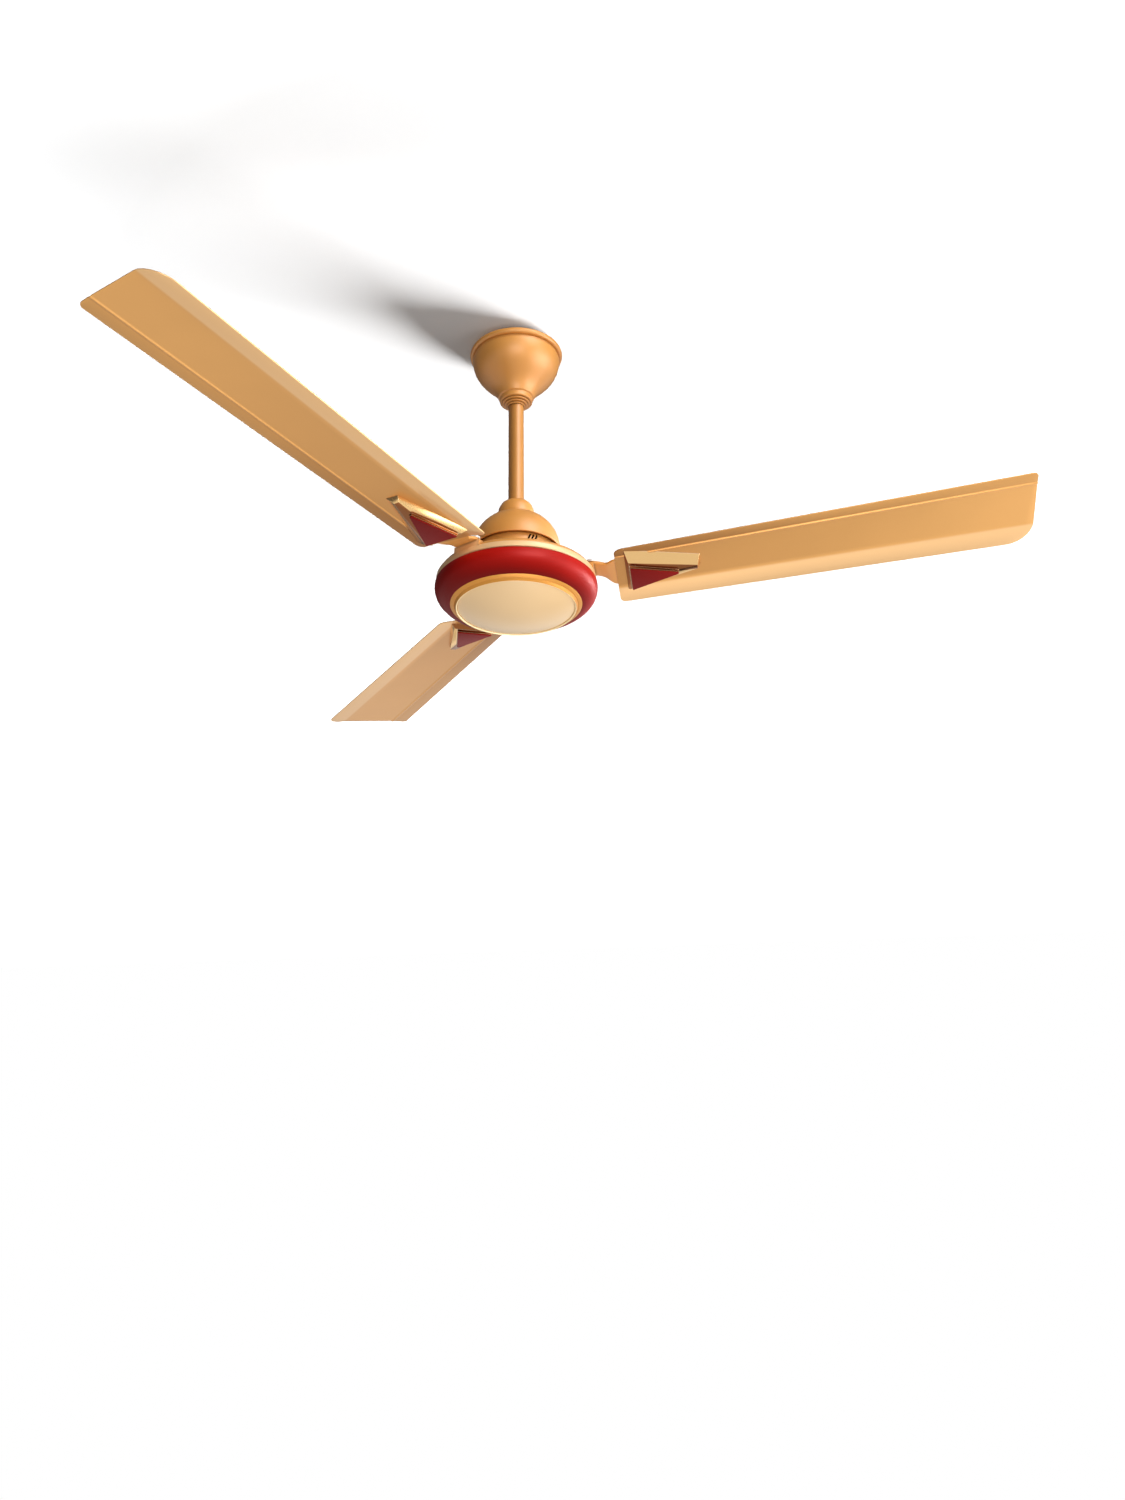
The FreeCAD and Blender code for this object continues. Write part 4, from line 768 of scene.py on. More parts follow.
class FAN_OT_finishes(FanOperator, bpy.types.Operator):
    """Make the finishes and give the packed solids theirs"""
    bl_idname = "fan.finishes"
    bl_label = "Finishes"

    def execute(self, context):
        tints = context.scene.fan_colours
        self.outside(tints)
        self.inside(tints)
        for part in frame["record"]["subparts"]:
            solid = frame["nodes"][part["node"]]
            solid.data.materials.clear()
            solid.data.materials.append(Build.finishes[WORN_BY[part["material_slot"]]])
        return {"FINISHED"}

    def outside(self, tints):
        """Paints, lacquers and platings of what shows."""
        # The gold paint, the cover and the ring's lacquer get painted shade in their crevices.
        paint = {"metallic": 0.15, "roughness": (0.44, 0.52), "coat": 0.9, "flake": 0.04, "grain": (900.0, 0.03),
                 "crevice_shade": 0.75}
        lacquer = {"metallic": 0.1, "roughness": (0.40, 0.48), "specular": 0.12, "flake": 0.04, "tone": 0.14,
                   "grain": (600.0, 0.03), "edge": 0.25}
        finish("gold_paint", tints.gold, **paint)
        # The cover's paint turns to painted shade inside the collar and slots, and to a painted highlight on the
        # flange.
        finish("cover_paint", tints.gold, painted_light=marked_painted_light(tints.cover_inside_shade, tints.cover_rim_highlight), **paint)
        # The blades' paint carries painted shade on the leading strip and near the root, and painted light on the
        # flap.
        finish("blade_paint", tints.blade_gold, metallic=0.5, roughness=(0.28, 0.36), specular=0.12, flake=0.05,
               grain=(900.0, 0.03), tone=0.04, tone_scale=6.0, painted_light=blade_painted_shading)
        # The trims' plating turns to painted shade and dark reflection on its marked faces, and to a painted highlight
        # on its edges.
        finish("gilt_plate", tints.gilt, metallic=1.0, roughness=(0.14, 0.20), tone=0.04, grain=(700.0, 0.004),
               edge=0.9, edge_wear_and_highlight=tints.gilt_rub_and_highlight, painted_light=marked_painted_light(tints.gilt_painted_shade))
        # The bezel's inner lip turns to a painted highlight.
        finish("gilt_satin", tints.gilt_satin, metallic=0.4, roughness=(0.34, 0.42), tone=0.04, grain=(700.0, 0.02),
               painted_light=marked_painted_light(tints.bezel_lip))
        finish("maroon_lacquer", tints.maroon, crevice_shade=0.6, **lacquer)
        finish("inlay_lacquer", tints.inlay, **lacquer)
        finish("cream_gloss", tints.cream, metallic=0.05, roughness=(0.30, 0.38), coat=0.7, tone=0.02,
               grain=(800.0, 0.02))

    def inside(self, tints):
        """Finishes of the hanger, the motor and the fasteners."""
        finish("zinc_plate", tints.zinc, metallic=1.0, roughness=(0.28, 0.46), tone=0.12, tone_scale=60.0, edge=0.4)
        # Near-white screw heads, partly a painted highlight in place of the chrome's reflection.
        finish("bright_plate", tints.bright, metallic=0.1, roughness=(0.2, 0.3), tone=0.04, edge=0.4)
        finish("ground_steel", tints.steel, metallic=1.0, roughness=(0.18, 0.34), stretch=(1, 1, 40))
        finish("laminations", tints.lamination, metallic=0.9, roughness=(0.35, 0.5), bands=("Z", 320.0),
               grain=(900.0, 0.5))
        finish("cast_aluminium", tints.steel, metallic=0.9, roughness=(0.45, 0.6), tone=0.08, grain=(500.0, 0.25))
        finish("copper_wire", tints.copper, metallic=0.7, roughness=(0.25, 0.4), coat=0.4, bands=("Z", 240.0),
               grain=(900.0, 0.6))
        finish("black_rubber", tints.rubber, roughness=(0.65, 0.85), tone=0.15, grain=(420.0, 0.3), edge=0.3)
        finish("pale_moulding", tints.moulding, roughness=(0.42, 0.55), tone=0.03, grain=(600.0, 0.12))
        finish("cage_moulding", tints.cage, roughness=(0.4, 0.55), grain=(600.0, 0.12))


class FAN_OT_canopy(FanOperator, bpy.types.Operator):
    """Turn the canopy with its rolled lip, bowl, neck and rings"""
    bl_idname = "fan.canopy"
    bl_label = "Canopy"

    def execute(self, context):
        s = context.scene.fan_shells
        lip = s.rim / 2 - s.lip_depth
        neck = s.neck / 2
        bore = s.rod / 2 + s.slide_gap
        ledge = s.lip_height + s.groove_height
        edge = arc(lip, -s.lip_height / 2, s.lip_depth, s.lip_height / 2, 90, -90)
        groove = [at(lip - s.lip_groove, -s.lip_height), at(lip - s.lip_groove, -ledge)]
        outer = bent(at(lip, -ledge), at(s.bowl / 2, -s.bowl_reach), at(s.waist / 2, -s.waist_drop),
                     at(s.foot / 2, -s.bowl_drop))
        inner = [at(place.x - s.wall, place.z) for place in reversed(outer)]
        collar = bore + s.collar_wall
        outline = [at(inner[-1].x, 0)] + edge + groove + outer + self.neck(s, neck)
        outline += [at(bore, -s.bowl_drop - s.neck_height), at(bore, inner[0].z), at(collar, inner[0].z)] + inner
        dress(turned("canopy_shell", outline), "canopy", "gold_shell", "gold_paint", "top_canopy")
        return {"FINISHED"}

    def neck(self, s, wide):
        """Straight wall and the rings that step in towards the rod."""
        foot = -s.bowl_drop - s.neck_wall
        step = (s.neck_height - s.neck_wall) / s.neck_rings
        narrow = s.neck_foot / 2
        outline = [at(wide, -s.bowl_drop - step / 2), at(wide, foot + step / 2), at(wide - step / 2, foot)]
        for index in range(s.neck_rings):
            radius = narrow + (wide - narrow) * (s.neck_rings - 1 - index) / s.neck_rings
            outline += arc(radius - step / 2, foot - step * (index + 0.5), step / 2, step / 2, 90, -90)
        return outline


class FAN_OT_cup(FanOperator, bpy.types.Operator):
    """Turn the cup with its stepped neck, dome and lip"""
    bl_idname = "fan.cup"
    bl_label = "Cup"

    def execute(self, context):
        s = context.scene.fan_shells
        base = s.cup_base / 2
        centre = s.cup_centre / 2
        neck = s.cup_neck / 2
        ledge = neck + s.cup_ledge
        bore = s.rod / 2 + s.slide_gap
        brow = bore + s.cup_brow
        neck_z = -s.cup_top - s.cup_neck_height
        start = math.degrees(math.acos((ledge - centre) / (base - centre)))
        height = (s.cup_drop + neck_z - s.cup_ledge) / math.sin(math.radians(start))
        crown = arc(brow, neck_z, neck - brow, s.cup_neck_height, 90, 0)
        outer = arc(centre, -s.cup_drop, base - centre, height, start, 0)
        inner = arc(centre, -s.cup_drop, base - centre - s.wall, height - s.wall, 0, start)
        lip = base + s.cup_lip_depth
        low = -s.cup_drop - s.cup_lip_height
        outline = [at(bore, -s.cup_top)] + crown + [at(ledge, neck_z)] + outer
        outline += [at(lip, -s.cup_drop), at(lip, low), at(base - s.wall, low)] + inner
        outline += [at(inner[-1].x, neck_z), at(bore, neck_z)]
        dress(turned("cup_shell", outline), "cup", "gold_shell", "gold_paint", "lower_cup")
        return {"FINISHED"}


class FAN_OT_cover(FanOperator, bpy.types.Operator):
    """Turn the motor's upper cover, raise its pads and cut its vent slots"""
    bl_idname = "fan.cover"
    bl_label = "Motor cover"

    def execute(self, context):
        s = context.scene.fan_cover
        piece = turned("cover_shell", self.outline(s))
        radius, half, overlap = s.collar / 2, s.pad_width / 2, 1 * MM
        for index in range(BLADE_COUNT):
            turn = blade_turn(index)
            self.carve(piece, "UNION", turn, s.pad_start + overlap, s.pad_end, half - overlap / 10,
                       -s.shoulder_drop - overlap, -s.pad_drop + overlap / 2)
            self.carve(piece, "DIFFERENCE", turn, s.pad_start, s.flange, half, -s.pad_drop, -s.top)
            for step in SLOT_STEPS:
                way = math.tau * (index + 0.5) / BLADE_COUNT + step * s.slot_pitch / radius
                place = (Matrix.Rotation(way, 4, "Z") @ Matrix.Translation((0, 0, -s.slot_drop))
                         @ Matrix.Rotation(s.slot_lean, 4, "X"))
                self.carve(piece, "DIFFERENCE", place, radius - s.wall * 1.5, radius + s.wall, s.slot_width / 2,
                           -s.slot_height / 2, s.slot_height / 2)
        smooth(piece)
        # Marks for the cover's painted shade inside the collar and its painted highlight on the flange's rim.
        inside, roof, rim = radius - 0.4 * MM, -s.top - 0.5 * MM, s.shoulder / 2 + 0.3 * MM
        mark(piece, lambda face: face.center.xy.length < inside and face.center.z < roof,
             lambda face: face.center.xy.length > rim)
        dress(piece, "rotor", "gold_cast", "cover_paint", "top_cover")
        return {"FINISHED"}

    def outline(self, s):
        """The cover's section, from its collar round the flange and back through the bearing's seat."""
        collar, flange = s.collar / 2, s.flange / 2
        roof = -s.top - s.wall
        low = -s.flange_drop - s.lip
        shoulder = arc(collar, -s.shoulder_drop, s.shoulder / 2 - collar, s.shoulder_rise, 90, 0)
        outside = [at(s.mouth / 2, -s.top), at(collar - s.collar_edge, -s.top), at(collar, -s.top - s.collar_edge)]
        edge = s.flange_edge
        start = math.degrees(math.acos((s.shoulder / 2 - flange + edge) / edge))
        rim = arc(flange - edge, -s.shoulder_drop - edge, edge, edge, start, 0)
        rim += arc(flange - edge, low + edge, edge, edge, 0, -90)
        rim += [at(s.lip_bore / 2, low), at(s.lip_bore / 2, -s.flange_drop)]
        core = [at(s.core / 2, -s.flange_drop), at(s.core / 2, -s.core_drop), at(s.room / 2, -s.core_drop)]
        room = [at(s.room / 2, -s.room_drop), at(collar - s.wall, -s.room_drop), at(collar - s.wall, roof)]
        boss = [at(s.boss / 2, roof), at(s.boss / 2, -s.room_drop), at(s.seat / 2, -s.room_drop),
                at(s.seat / 2, roof)]
        return outside + shoulder + rim + core + room + boss + [at(s.mouth / 2, roof)]

    def carve(self, piece, operation, place, near, far, half, low, high):
        """Add a bar to the piece, or cut it away."""
        corners = ((-half, low), (half, low), (half, high), (-half, high))
        bar = slab("bar_form", [place @ Vector((near, y, z)) for y, z in corners],
                   place.to_3x3() @ Vector((far - near, 0, 0)))
        apply_modifier(piece, "BOOLEAN", operation=operation, object=bar, solver="EXACT")
        bpy.data.objects.remove(bar)


class FAN_OT_ring(FanOperator, bpy.types.Operator):
    """Turn the rounded ring, its bezel and the cap under the motor"""
    bl_idname = "fan.ring"
    bl_label = "Ring, bezel and cap"

    def execute(self, context):
        s = context.scene.fan_ring
        flange = -context.scene.fan_cover.flange_drop
        centre = s.ring / 2 - s.half_width
        middle = flange - s.middle_drop
        mouth = s.mouth / 2
        down = s.half_height - s.wall
        plate_low = flange - s.plate_drop
        plate_top = plate_low + s.plate
        rise = s.middle_drop - s.top_drop
        end = -math.degrees(math.acos((mouth - centre) / s.half_width))
        outer = arc(centre, middle, s.half_width, s.half_height,
                    math.degrees(math.asin(rise / s.half_height)), end)
        inner = arc(centre, middle, s.half_width - s.wall, down,
                    -math.degrees(math.asin((middle - plate_top) / down)), math.degrees(math.asin(rise / down)))
        lip_z = outer[-1].z
        bore = s.plate_bore / 2
        ring = outer + [at(mouth - s.wall, lip_z), at(mouth - s.wall, plate_low), at(bore, plate_low),
                        at(bore, plate_top)] + inner
        dress(turned("ring_shell", ring), "rotor", "maroon_gloss", "maroon_lacquer", "trim_ring")
        inside = s.bezel_bore / 2
        low = lip_z - s.bezel_drop
        crest = inside + s.bezel_lip
        slope = at(crest, low) - at(mouth, lip_z)
        line = [at(mouth, lip_z) + slope * part for part in BEZEL_LINE]
        line[1] += UP * s.bezel_groove
        rim = arc(crest, low, s.bezel_lip, s.bezel_lip, -90, -180)
        spigot = s.spigot / 2
        bezel = [at(mouth, lip_z)] + line + rim + [at(inside, lip_z), at(spigot - s.spigot_wall, lip_z)]
        bezel += [at(spigot - s.spigot_wall, plate_low), at(spigot, plate_low), at(spigot, lip_z)]
        band = turned("bezel_band", bezel)
        # The bezel's inner lip is marked for a painted highlight.
        mark(band, lambda face: (face.center.z < low + s.bezel_lip / 2
                                 and face.center.xy.length < crest + s.bezel_lip / 4))
        dress(band, "rotor", "gilt", "gilt_satin", "bezel_ring")
        edge = inside - s.cap_gap
        skirt = edge - s.cap_inset
        sphere = (edge ** 2 + s.cap_bulge ** 2) / (2 * s.cap_bulge)
        ball = low - s.cap_bulge + sphere
        hollow = sphere - s.cap_wall
        dome = arc(0, ball, sphere, sphere, -90 + math.degrees(math.asin(edge / sphere)), -90)
        under = arc(0, ball, hollow, hollow, -90, -90 + math.degrees(math.asin((skirt - s.cap_wall) / hollow)))
        cap = dome + under + [at(skirt - s.cap_wall, plate_low), at(skirt, plate_low),
                              at(skirt, low + s.cap_wall), at(edge, low + s.cap_wall)]
        dress(turned("cap_dome", cap), "rotor", "cream_cap", "cream_gloss", "bottom_cap")
        return {"FINISHED"}


class FAN_OT_blades(FanOperator, bpy.types.Operator):
    """Press the blades: panel, bead, trailing flap and rounded corners"""
    bl_idname = "fan.blades"
    bl_label = "Blades"

    def execute(self, context):
        s = context.scene.fan_blade
        chord = s.root_lead + s.root_trail
        bead = -s.root_lead + chord * s.bead_share
        fold = s.root_trail - chord * s.flap_share
        profile = [(-s.root_lead, -s.lead_drop), (bead, 0), (bead + s.bead_width / 2, -s.bead_height),
                   (bead + s.bead_width, 0), (fold, 0), (s.root_trail, -s.flap_drop)]
        points = [Vector((0, y, z)) for y, z in profile]
        head = soften(points[:5], s.bead_round, closed=False, sharper_than=2)
        tail = soften(points[3:], s.fold_round, closed=False, sharper_than=2)
        section = head[:-1] + tail[1:]
        form = start_line("blade_form", section)
        reach = (s.sweep - s.root) / 2 / math.cos(s.rise)
        ratio = (s.tip_lead + s.tip_trail) / chord
        fixed = (s.tip_lead - s.root_lead * ratio) / (ratio - 1)
        widths = [1 + (ratio - 1) * station / BLADE_STATIONS for station in range(BLADE_STATIONS + 1)]
        for before, after in zip(widths, widths[1:]):
            extrude((reach / BLADE_STATIONS, 0, 0))
            bpy.ops.transform.resize(value=(1, after / before, 1), center_override=(0, fixed, 0))
        corners = [Vector((0, -s.root_lead, 0)), Vector((reach - s.tip_slant, -s.tip_lead, 0)),
                   Vector((reach, s.tip_trail, 0)), Vector((0, s.root_trail, 0))]
        self.cut_plan(corners, [s.root_lead_corner, s.tip_lead_corner, s.tip_trail_corner, s.root_trail_corner])
        close_up()
        apply_modifier(form, "SOLIDIFY", thickness=s.thickness, offset=0)
        round_edges(form, s.edge, segments=2, limit=60)
        smooth(form, 25)
        self.lay_map(form, s, reach)
        three_copies(form, "blade_skin", blade_place, "gold_blade", "blade_paint", "blade")
        return {"FINISHED"}

    def lay_map(self, form, s, reach):
        """Map of the blade for its painted shading: along it from root to tip, and across it from the leading to the
        trailing edge.
        """
        layer = form.data.uv_layers.new(name="blade_map")
        for loop in form.data.loops:
            x, y = form.data.vertices[loop.vertex_index].co.xy
            along = x / reach
            lead = s.root_lead + (s.tip_lead - s.root_lead) * along
            trail = s.root_trail + (s.tip_trail - s.root_trail) * along
            layer.data[loop.index].uv = (along, (y + lead) / (lead + trail))

    def cut_plan(self, corners, radii):
        """Cut the tip straight, and every corner of the plan round."""
        tip = corners[2] - corners[1]
        self.cut(corners[1], Vector((tip.y, -tip.x, 0)))
        count = len(corners)
        for index, corner in enumerate(corners):
            back = (corners[index - 1] - corner).normalized()
            ahead = (corners[(index + 1) % count] - corner).normalized()
            half = back.angle(ahead) / 2
            middle = corner + (back + ahead).normalized() * (radii[index] / math.sin(half))
            first = Vector((-back.y, back.x, 0))
            last = Vector((ahead.y, -ahead.x, 0))
            for step in range(1, 2 * CORNER_STEPS):
                outward = first.lerp(last, step / (2 * CORNER_STEPS)).normalized()
                self.cut(middle + outward * radii[index], outward)

    def cut(self, place, outward):
        """Cut away what lies outside an upright plane."""
        bpy.ops.mesh.select_all(action="SELECT")
        bpy.ops.mesh.bisect(plane_co=place, plane_no=outward, use_fill=False, clear_outer=True)


class FAN_OT_trims(FanOperator, bpy.types.Operator):
    """Raise the trims under the blade roots and set their inlays"""
    bl_idname = "fan.trims"
    bl_label = "Trims and inlays"

    def execute(self, context):
        s = context.scene.fan_trim
        base, bottom, seat, inward = self.outlines(s, context.scene.fan_blade.thickness)
        form = raised_block("trim_form", base, bottom)
        bpy.ops.mesh.inset(thickness=1 * MM)
        self.lay_seat(form, bottom, seat)
        extrude(-inward * s.seat_height)
        close_up()
        self.lay_map(form, bottom[0], inward, s.trail)
        round_edges(form, s.edge)
        smooth(form, 40)
        three_copies(form, "trim_skin", blade_place, "gilt", "gilt_plate", "blade_trim")
        corners = [corner - inward * s.seat_height for corner in self.inlay(s, bottom, inward, 0)]
        plate = slab("inlay_form", corners, -inward * s.inlay_thick)
        round_edges(plate, s.inlay_edge)
        smooth(plate, 40)
        three_copies(plate, "inlay_skin", blade_place, "maroon_gloss", "inlay_lacquer", "trim_inlay")
        return {"FINISHED"}

    def lay_seat(self, form, bottom, seat):
        """Move the inner corners of the inset face to the corners of the seat, each to the one on its side."""
        middle = sum(bottom, Vector()) / 4
        mesh = bmesh.from_edit_mesh(form.data)
        face = max((f for f in mesh.faces if f.select), key=lambda f: f.calc_area())
        pairs = []
        for place in [vertex.co.copy() for vertex in face.verts]:
            way = (place - middle).normalized()
            pairs.append((place, min(seat, key=lambda corner: ((corner - middle).normalized() - way).length)))
        move_points(form, pairs)
        select_points(form, seat)

    def lay_map(self, form, corner, inward, trail):
        """Mark for painted shade and dark reflection the root end, the walls of the seat and the lower face round it,
        but for its trailing strip.
        """
        def dark(face):
            depths = [(form.data.vertices[index].co - corner).dot(inward) for index in face.vertices]
            strip = min(depths) > -NEAR and face.center.y > trail / 3
            return max(depths) < NEAR and not strip or face.center.x < corner.x
        mark(form, dark)

    def outlines(self, s, sheet):
        """Corners of the trim on the blade and on its lower face, of the inlay's seat, and the way in."""
        seat = -sheet / 2
        tip = s.root_gap + s.reach
        half = s.tip_width / 2
        base = [Vector((s.root_gap, -s.lead, seat)), Vector((tip, s.tip_offset - half, seat)),
                Vector((tip, s.tip_offset + half, seat)), Vector((s.root_gap, s.trail, seat))]
        start = s.root_gap + s.root_draft
        lead = Vector((start, -s.lead + s.lead_draft, seat - s.lead_height))
        trail = Vector((start, s.trail - s.trail_draft, seat - s.trail_height))
        middle = Vector((tip - s.tip_draft, s.face_offset, seat - s.tip_height))
        across = (trail - lead) * (s.face_tip / 2 / (trail.y - lead.y))
        bottom = [lead, middle - across, middle + across, trail]
        inward = (bottom[1] - lead).cross(trail - lead).normalized()
        return base, bottom, self.inlay(s, bottom, inward, s.inlay_gap), inward

    def inlay(self, s, bottom, inward, grow):
        """Corners of the inlay on the trim's lower face, grown by a gap."""
        start = s.root_gap + s.inlay_root
        end = start + s.inlay_reach
        half = s.inlay_tip / 2
        plan = [(start - grow, -s.inlay_lead - grow), (end + grow, s.inlay_offset - half - grow),
                (end + grow, s.inlay_offset + half + grow), (start - grow, s.inlay_trail + grow)]
        lead = bottom[0]
        corners = []
        for x, y in plan:
            fall = (inward.x * (x - lead.x) + inward.y * (y - lead.y)) / inward.z
            corners.append(Vector((x, y, lead.z - fall)))
        return corners


class FAN_OT_arms(FanOperator, bpy.types.Operator):
    """Stamp the blade arms with their feet, waists and pads"""
    bl_idname = "fan.arms"
    bl_label = "Blade arms"

    def execute(self, context):
        s = context.scene.fan_arm
        blade = context.scene.fan_blade
        plane = blade_place(0)
        flat = Vector((0, 1, 0))
        across = (plane.to_3x3() @ flat).normalized()
        lift = blade.thickness / 2 + s.lay_gap + s.thickness / 2
        foot_z = -s.foot_drop + s.thickness / 2
        pad = [plane @ Vector((x, 0, lift)) for x in (-s.setback, s.setback, s.reach * 0.5, s.reach)]
        turn = (flat + across).normalized()
        stations = [(at(s.foot_start / 2, foot_z), flat, s.foot_width),
                    (at(s.foot_end / 2, foot_z), flat, s.foot_width),
                    (at(s.waist / 2, -s.waist_drop), turn, s.waist_width), (pad[0], across, s.end_width),
                    (pad[1], across, s.end_width), (pad[2], across, (s.end_width + s.tip_width) / 2),
                    (pad[3], across, s.tip_width)]
        rows = [(middle - side * (width / 2), middle + side * (width / 2)) for middle, side, width in stations]
        form = start_line("arm_form", rows[0])
        for index in range(1, len(stations)):
            move = stations[index][0] - stations[index - 1][0]
            extrude(move)
            move_points(form, [(old + move, new) for old, new in zip(rows[index - 1], rows[index])])
            select_points(form, rows[index])
        close_up()
        apply_modifier(form, "SUBSURF", levels=ARM_LEVELS, render_levels=ARM_LEVELS)
        apply_modifier(form, "SOLIDIFY", thickness=s.thickness, offset=0)
        round_edges(form, s.edge, limit=60)
        smooth(form)
        three_copies(form, "arm_skin", blade_turn, "gold_steel", "gold_paint", "bracket")
        return {"FINISHED"}


class FAN_OT_stage(FanOperator, bpy.types.Operator):
    """Set the ceiling, the floor, the lamps, the background and the camera"""
    bl_idname = "fan.stage"
    bl_label = "Stage"

    def execute(self, context):
        s = context.scene.fan_stage
        self.background(context)
        ceiling = self.sheet("stage_ceiling", CEILING_SIZE, s.ceiling, CEILING_HAZE, "X", CEILING_MIRROR, CEILING_FILL)
        self.sheet("stage_floor", FLOOR_SIZE, s.floor, FLOOR_HAZE, "Y", FLOOR_MIRROR, FLOOR_FILL)
        for name, middle, size, glow in CARDS:
            self.card(name, middle, size, s.floor + CARD_LIFT, glow)
        for name, place, size, power, height, lit in LAMPS:
            light = self.lamp("AREA", name, place, Vector((0, 0, height)) - Vector(place), power)
            light.data.size = size
            if lit:
                self.only(light, name, [piece for piece in bpy.data.objects if piece.name.startswith(lit)])
        rake = self.lamp("SUN", "rake", RAKE_PLACE, Vector(RAKE_WAY), RAKE_POWER)
        rake.data.angle = math.radians(RAKE_SPREAD)
        self.only(rake, "rake", [ceiling])
        self.camera(context, s)
        return {"FINISHED"}

    def background(self, context):
        """White where it is seen, brighter on one side where it is mirrored, and a plain soft light elsewhere."""
        world = bpy.data.worlds.new("studio")
        context.scene.world = world
        world.use_nodes = True
        tree = world.node_tree
        tree.nodes.clear()
        paths = node(tree, "LightPath").outputs
        way = node(tree, "TexCoord").outputs["Generated"]
        mirrored = spread(tree, joined(tree, "VectorMath", "DOT_PRODUCT", way, BRIGHT_SIDE), 0.15, 0.9, 0.1, 0.8)
        level = blended_level(tree, paths["Is Glossy Ray"], WORLD_FILL, mirrored)
        seen = joined(tree, "Math", "MAXIMUM", paths["Is Camera Ray"], paths["Is Transmission Ray"])
        sky = node(tree, "Background", None, Color=WHITE, Strength=blended_level(tree, seen, level, 1.0))
        node(tree, "OutputWorld", None, Surface=sky.outputs["Background"])

    def sheet(self, name, size, height, haze, axis, mirrored, bounce):
        """A pale sheet that shows only its side towards the fan, whitened with distance.

        It has levels of its own in mirrors and as fill, and shadows fall on its paint.
        """
        clear_selection()
        bpy.ops.mesh.primitive_grid_add(x_subdivisions=8, y_subdivisions=8, size=size)
        piece = open_new(name)
        bpy.ops.transform.translate(value=(0, 0, height))
        if height > 0:
            bpy.ops.mesh.flip_normals()
        bpy.ops.object.mode_set(mode="OBJECT")
        material, tree = bare_material(name)
        place = node(tree, "TexCoord").outputs["Object"]
        paths = node(tree, "LightPath").outputs
        grain = node(tree, "TexNoise", None, Vector=place, Scale=180.0, Detail=3.0).outputs["Fac"]
        bump = node(tree, "Bump", None, Height=grain, Strength=0.04, Distance=0.3 * MM)
        paint = node(tree, "BsdfDiffuse", None, Color=SHEET_PAINT, Normal=bump.outputs["Normal"])
        flat = joined(tree, "VectorMath", "MULTIPLY", place, (1, 1, 0))
        away = ramp(tree, joined(tree, "VectorMath", "LENGTH", flat), haze)
        white = white_glow(tree, joined(tree, "Math", "MULTIPLY", away, paths["Is Camera Ray"]))
        both = node(tree, "AddShader")
        link(tree, paint.outputs["BSDF"], both.inputs[0])
        link(tree, white, both.inputs[1])
        along = node(tree, "SeparateXYZ", None, Vector=place).outputs[axis]
        run = joined(tree, "Math", "ADD", along, MIRROR_START)
        shown = blended_shader(tree, paths["Is Glossy Ray"], both.outputs["Shader"],
                               white_glow(tree, ramp(tree, run, mirrored)))
        shown = blended_shader(tree, paths["Is Diffuse Ray"], shown, white_glow(tree, bounce))
        shown = blended_shader(tree, node(tree, "NewGeometry").outputs["Backfacing"], shown,
                               node(tree, "BsdfTransparent").outputs["BSDF"])
        node(tree, "OutputMaterial", None, Surface=shown)
        piece.data.materials.append(material)
        piece.visible_shadow = False
        return piece

    def card(self, name, middle, size, height, glow):
        """A dark or a glowing card that only the polished faces see."""
        clear_selection()
        bpy.ops.mesh.primitive_plane_add(size=1)
        piece = open_new(name)
        bpy.ops.transform.resize(value=(*size, 1))
        bpy.ops.transform.translate(value=(*middle, height))
        bpy.ops.object.mode_set(mode="OBJECT")
        material, tree = bare_material(name)
        shader = node(tree, "BsdfPrincipled", None, Base_Color=CARD_PAINT, Roughness=0.9, Emission_Color=WHITE,
                      Emission_Strength=glow)
        node(tree, "OutputMaterial", None, Surface=shader.outputs["BSDF"])
        piece.data.materials.append(material)
        piece.visible_camera = False
        piece.visible_shadow = False
        piece.visible_diffuse = False

    def lamp(self, kind, name, place, way, power):
        """A soft lamp that looks one way."""
        clear_selection()
        bpy.ops.object.light_add(type=kind, location=place, rotation=way.to_track_quat("-Z", "Y").to_euler())
        light = bpy.context.object
        light.name = name + "_lamp"
        light.data.energy = power
        return light

    def only(self, light, name, pieces):
        """Let a lamp light some pieces alone."""
        lit = bpy.data.collections.new(name + "_lit")
        for piece in pieces:
            lit.objects.link(piece)
        light.light_linking.receiver_collection = lit

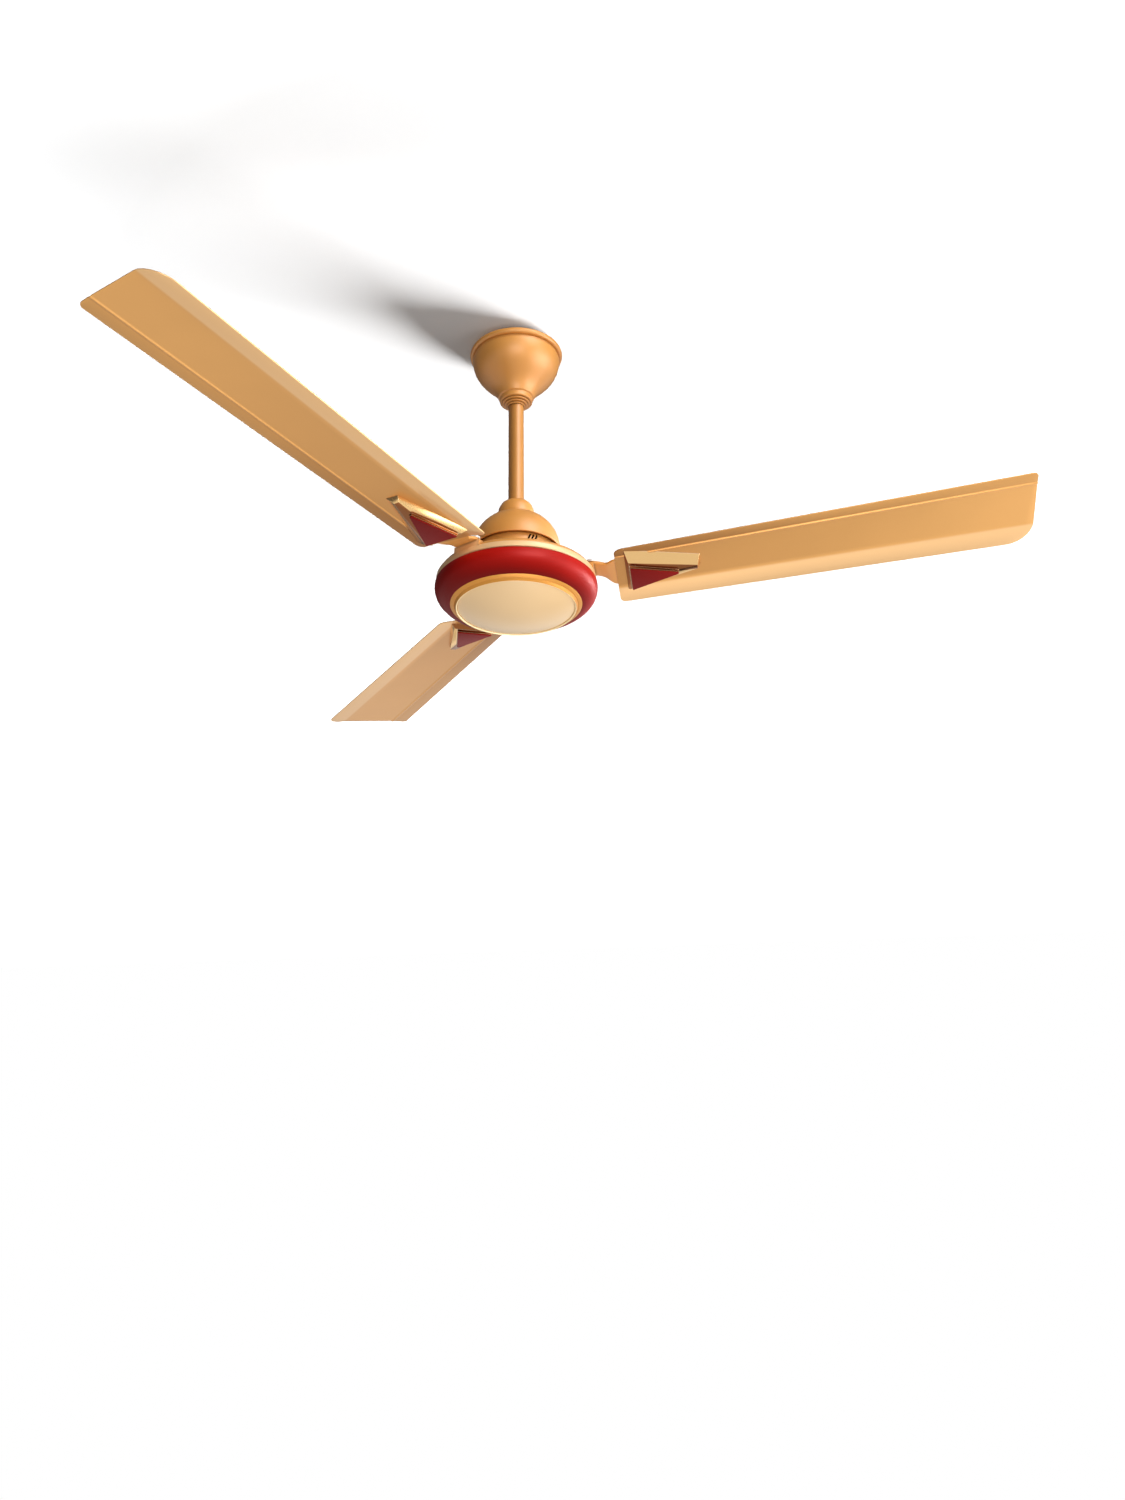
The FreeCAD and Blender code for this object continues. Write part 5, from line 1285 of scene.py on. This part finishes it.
    def camera(self, context, s):
        """The camera at the photograph's place, with the frame shifted as there."""
        level = math.cos(s.elevation)
        back = Vector((math.sin(s.azimuth) * level, -math.cos(s.azimuth) * level, math.sin(s.elevation)))
        clear_selection()
        bpy.ops.object.camera_add(location=Vector((0, 0, s.target)) + back * s.distance,
                                  rotation=(math.pi / 2 - s.elevation, 0, s.azimuth))
        viewer = bpy.context.object
        viewer.name = "fan_camera"
        viewer.data.sensor_fit = "VERTICAL"
        viewer.data.sensor_height = SENSOR_HEIGHT
        viewer.data.lens = s.lens
        viewer.data.shift_x = s.shift_x
        viewer.data.shift_y = s.shift_y
        context.scene.camera = viewer
        context.scene.view_settings.view_transform = "Standard"


OPERATORS = (FAN_OT_finishes, FAN_OT_canopy, FAN_OT_cup, FAN_OT_cover, FAN_OT_ring, FAN_OT_blades, FAN_OT_trims,
             FAN_OT_arms, FAN_OT_stage)
GROUPS = {"fan_shells": FanShellSizes, "fan_cover": FanCoverSizes, "fan_ring": FanRingSizes,
          "fan_blade": FanBladeSizes, "fan_trim": FanTrimSizes, "fan_arm": FanArmSizes, "fan_colours": FanColours,
          "fan_stage": FanStage}


class FAN_PT_panel(bpy.types.Panel):
    """Operators and sizes of the fan"""
    bl_idname = "FAN_PT_panel"
    bl_label = "Ceiling fan"
    bl_space_type = "VIEW_3D"
    bl_region_type = "UI"
    bl_category = "Fan"

    def draw(self, context):
        for operator in OPERATORS:
            self.layout.operator(operator.bl_idname)
        for name, group in GROUPS.items():
            box = self.layout.box()
            box.label(text=group.__doc__)
            for size in group.__annotations__:
                box.prop(getattr(context.scene, name), size)


CLASSES = tuple(GROUPS.values()) + OPERATORS + (FAN_PT_panel,)


def register():
    """Register the classes and hang the sizes on the scene."""
    for item in CLASSES:
        bpy.utils.register_class(item)
    for name, group in GROUPS.items():
        setattr(bpy.types.Scene, name, PointerProperty(type=group))


def unregister():
    """Take the sizes and the classes away again."""
    for name in GROUPS:
        delattr(bpy.types.Scene, name)
    for item in reversed(CLASSES):
        bpy.utils.unregister_class(item)


def main():
    """Dress the fan and set its stage."""
    register()
    for operator in OPERATORS:
        group, name = operator.bl_idname.split(".")
        getattr(getattr(bpy.ops, group), name)()
    clear_selection()


if __name__ == "__main__":
    main()
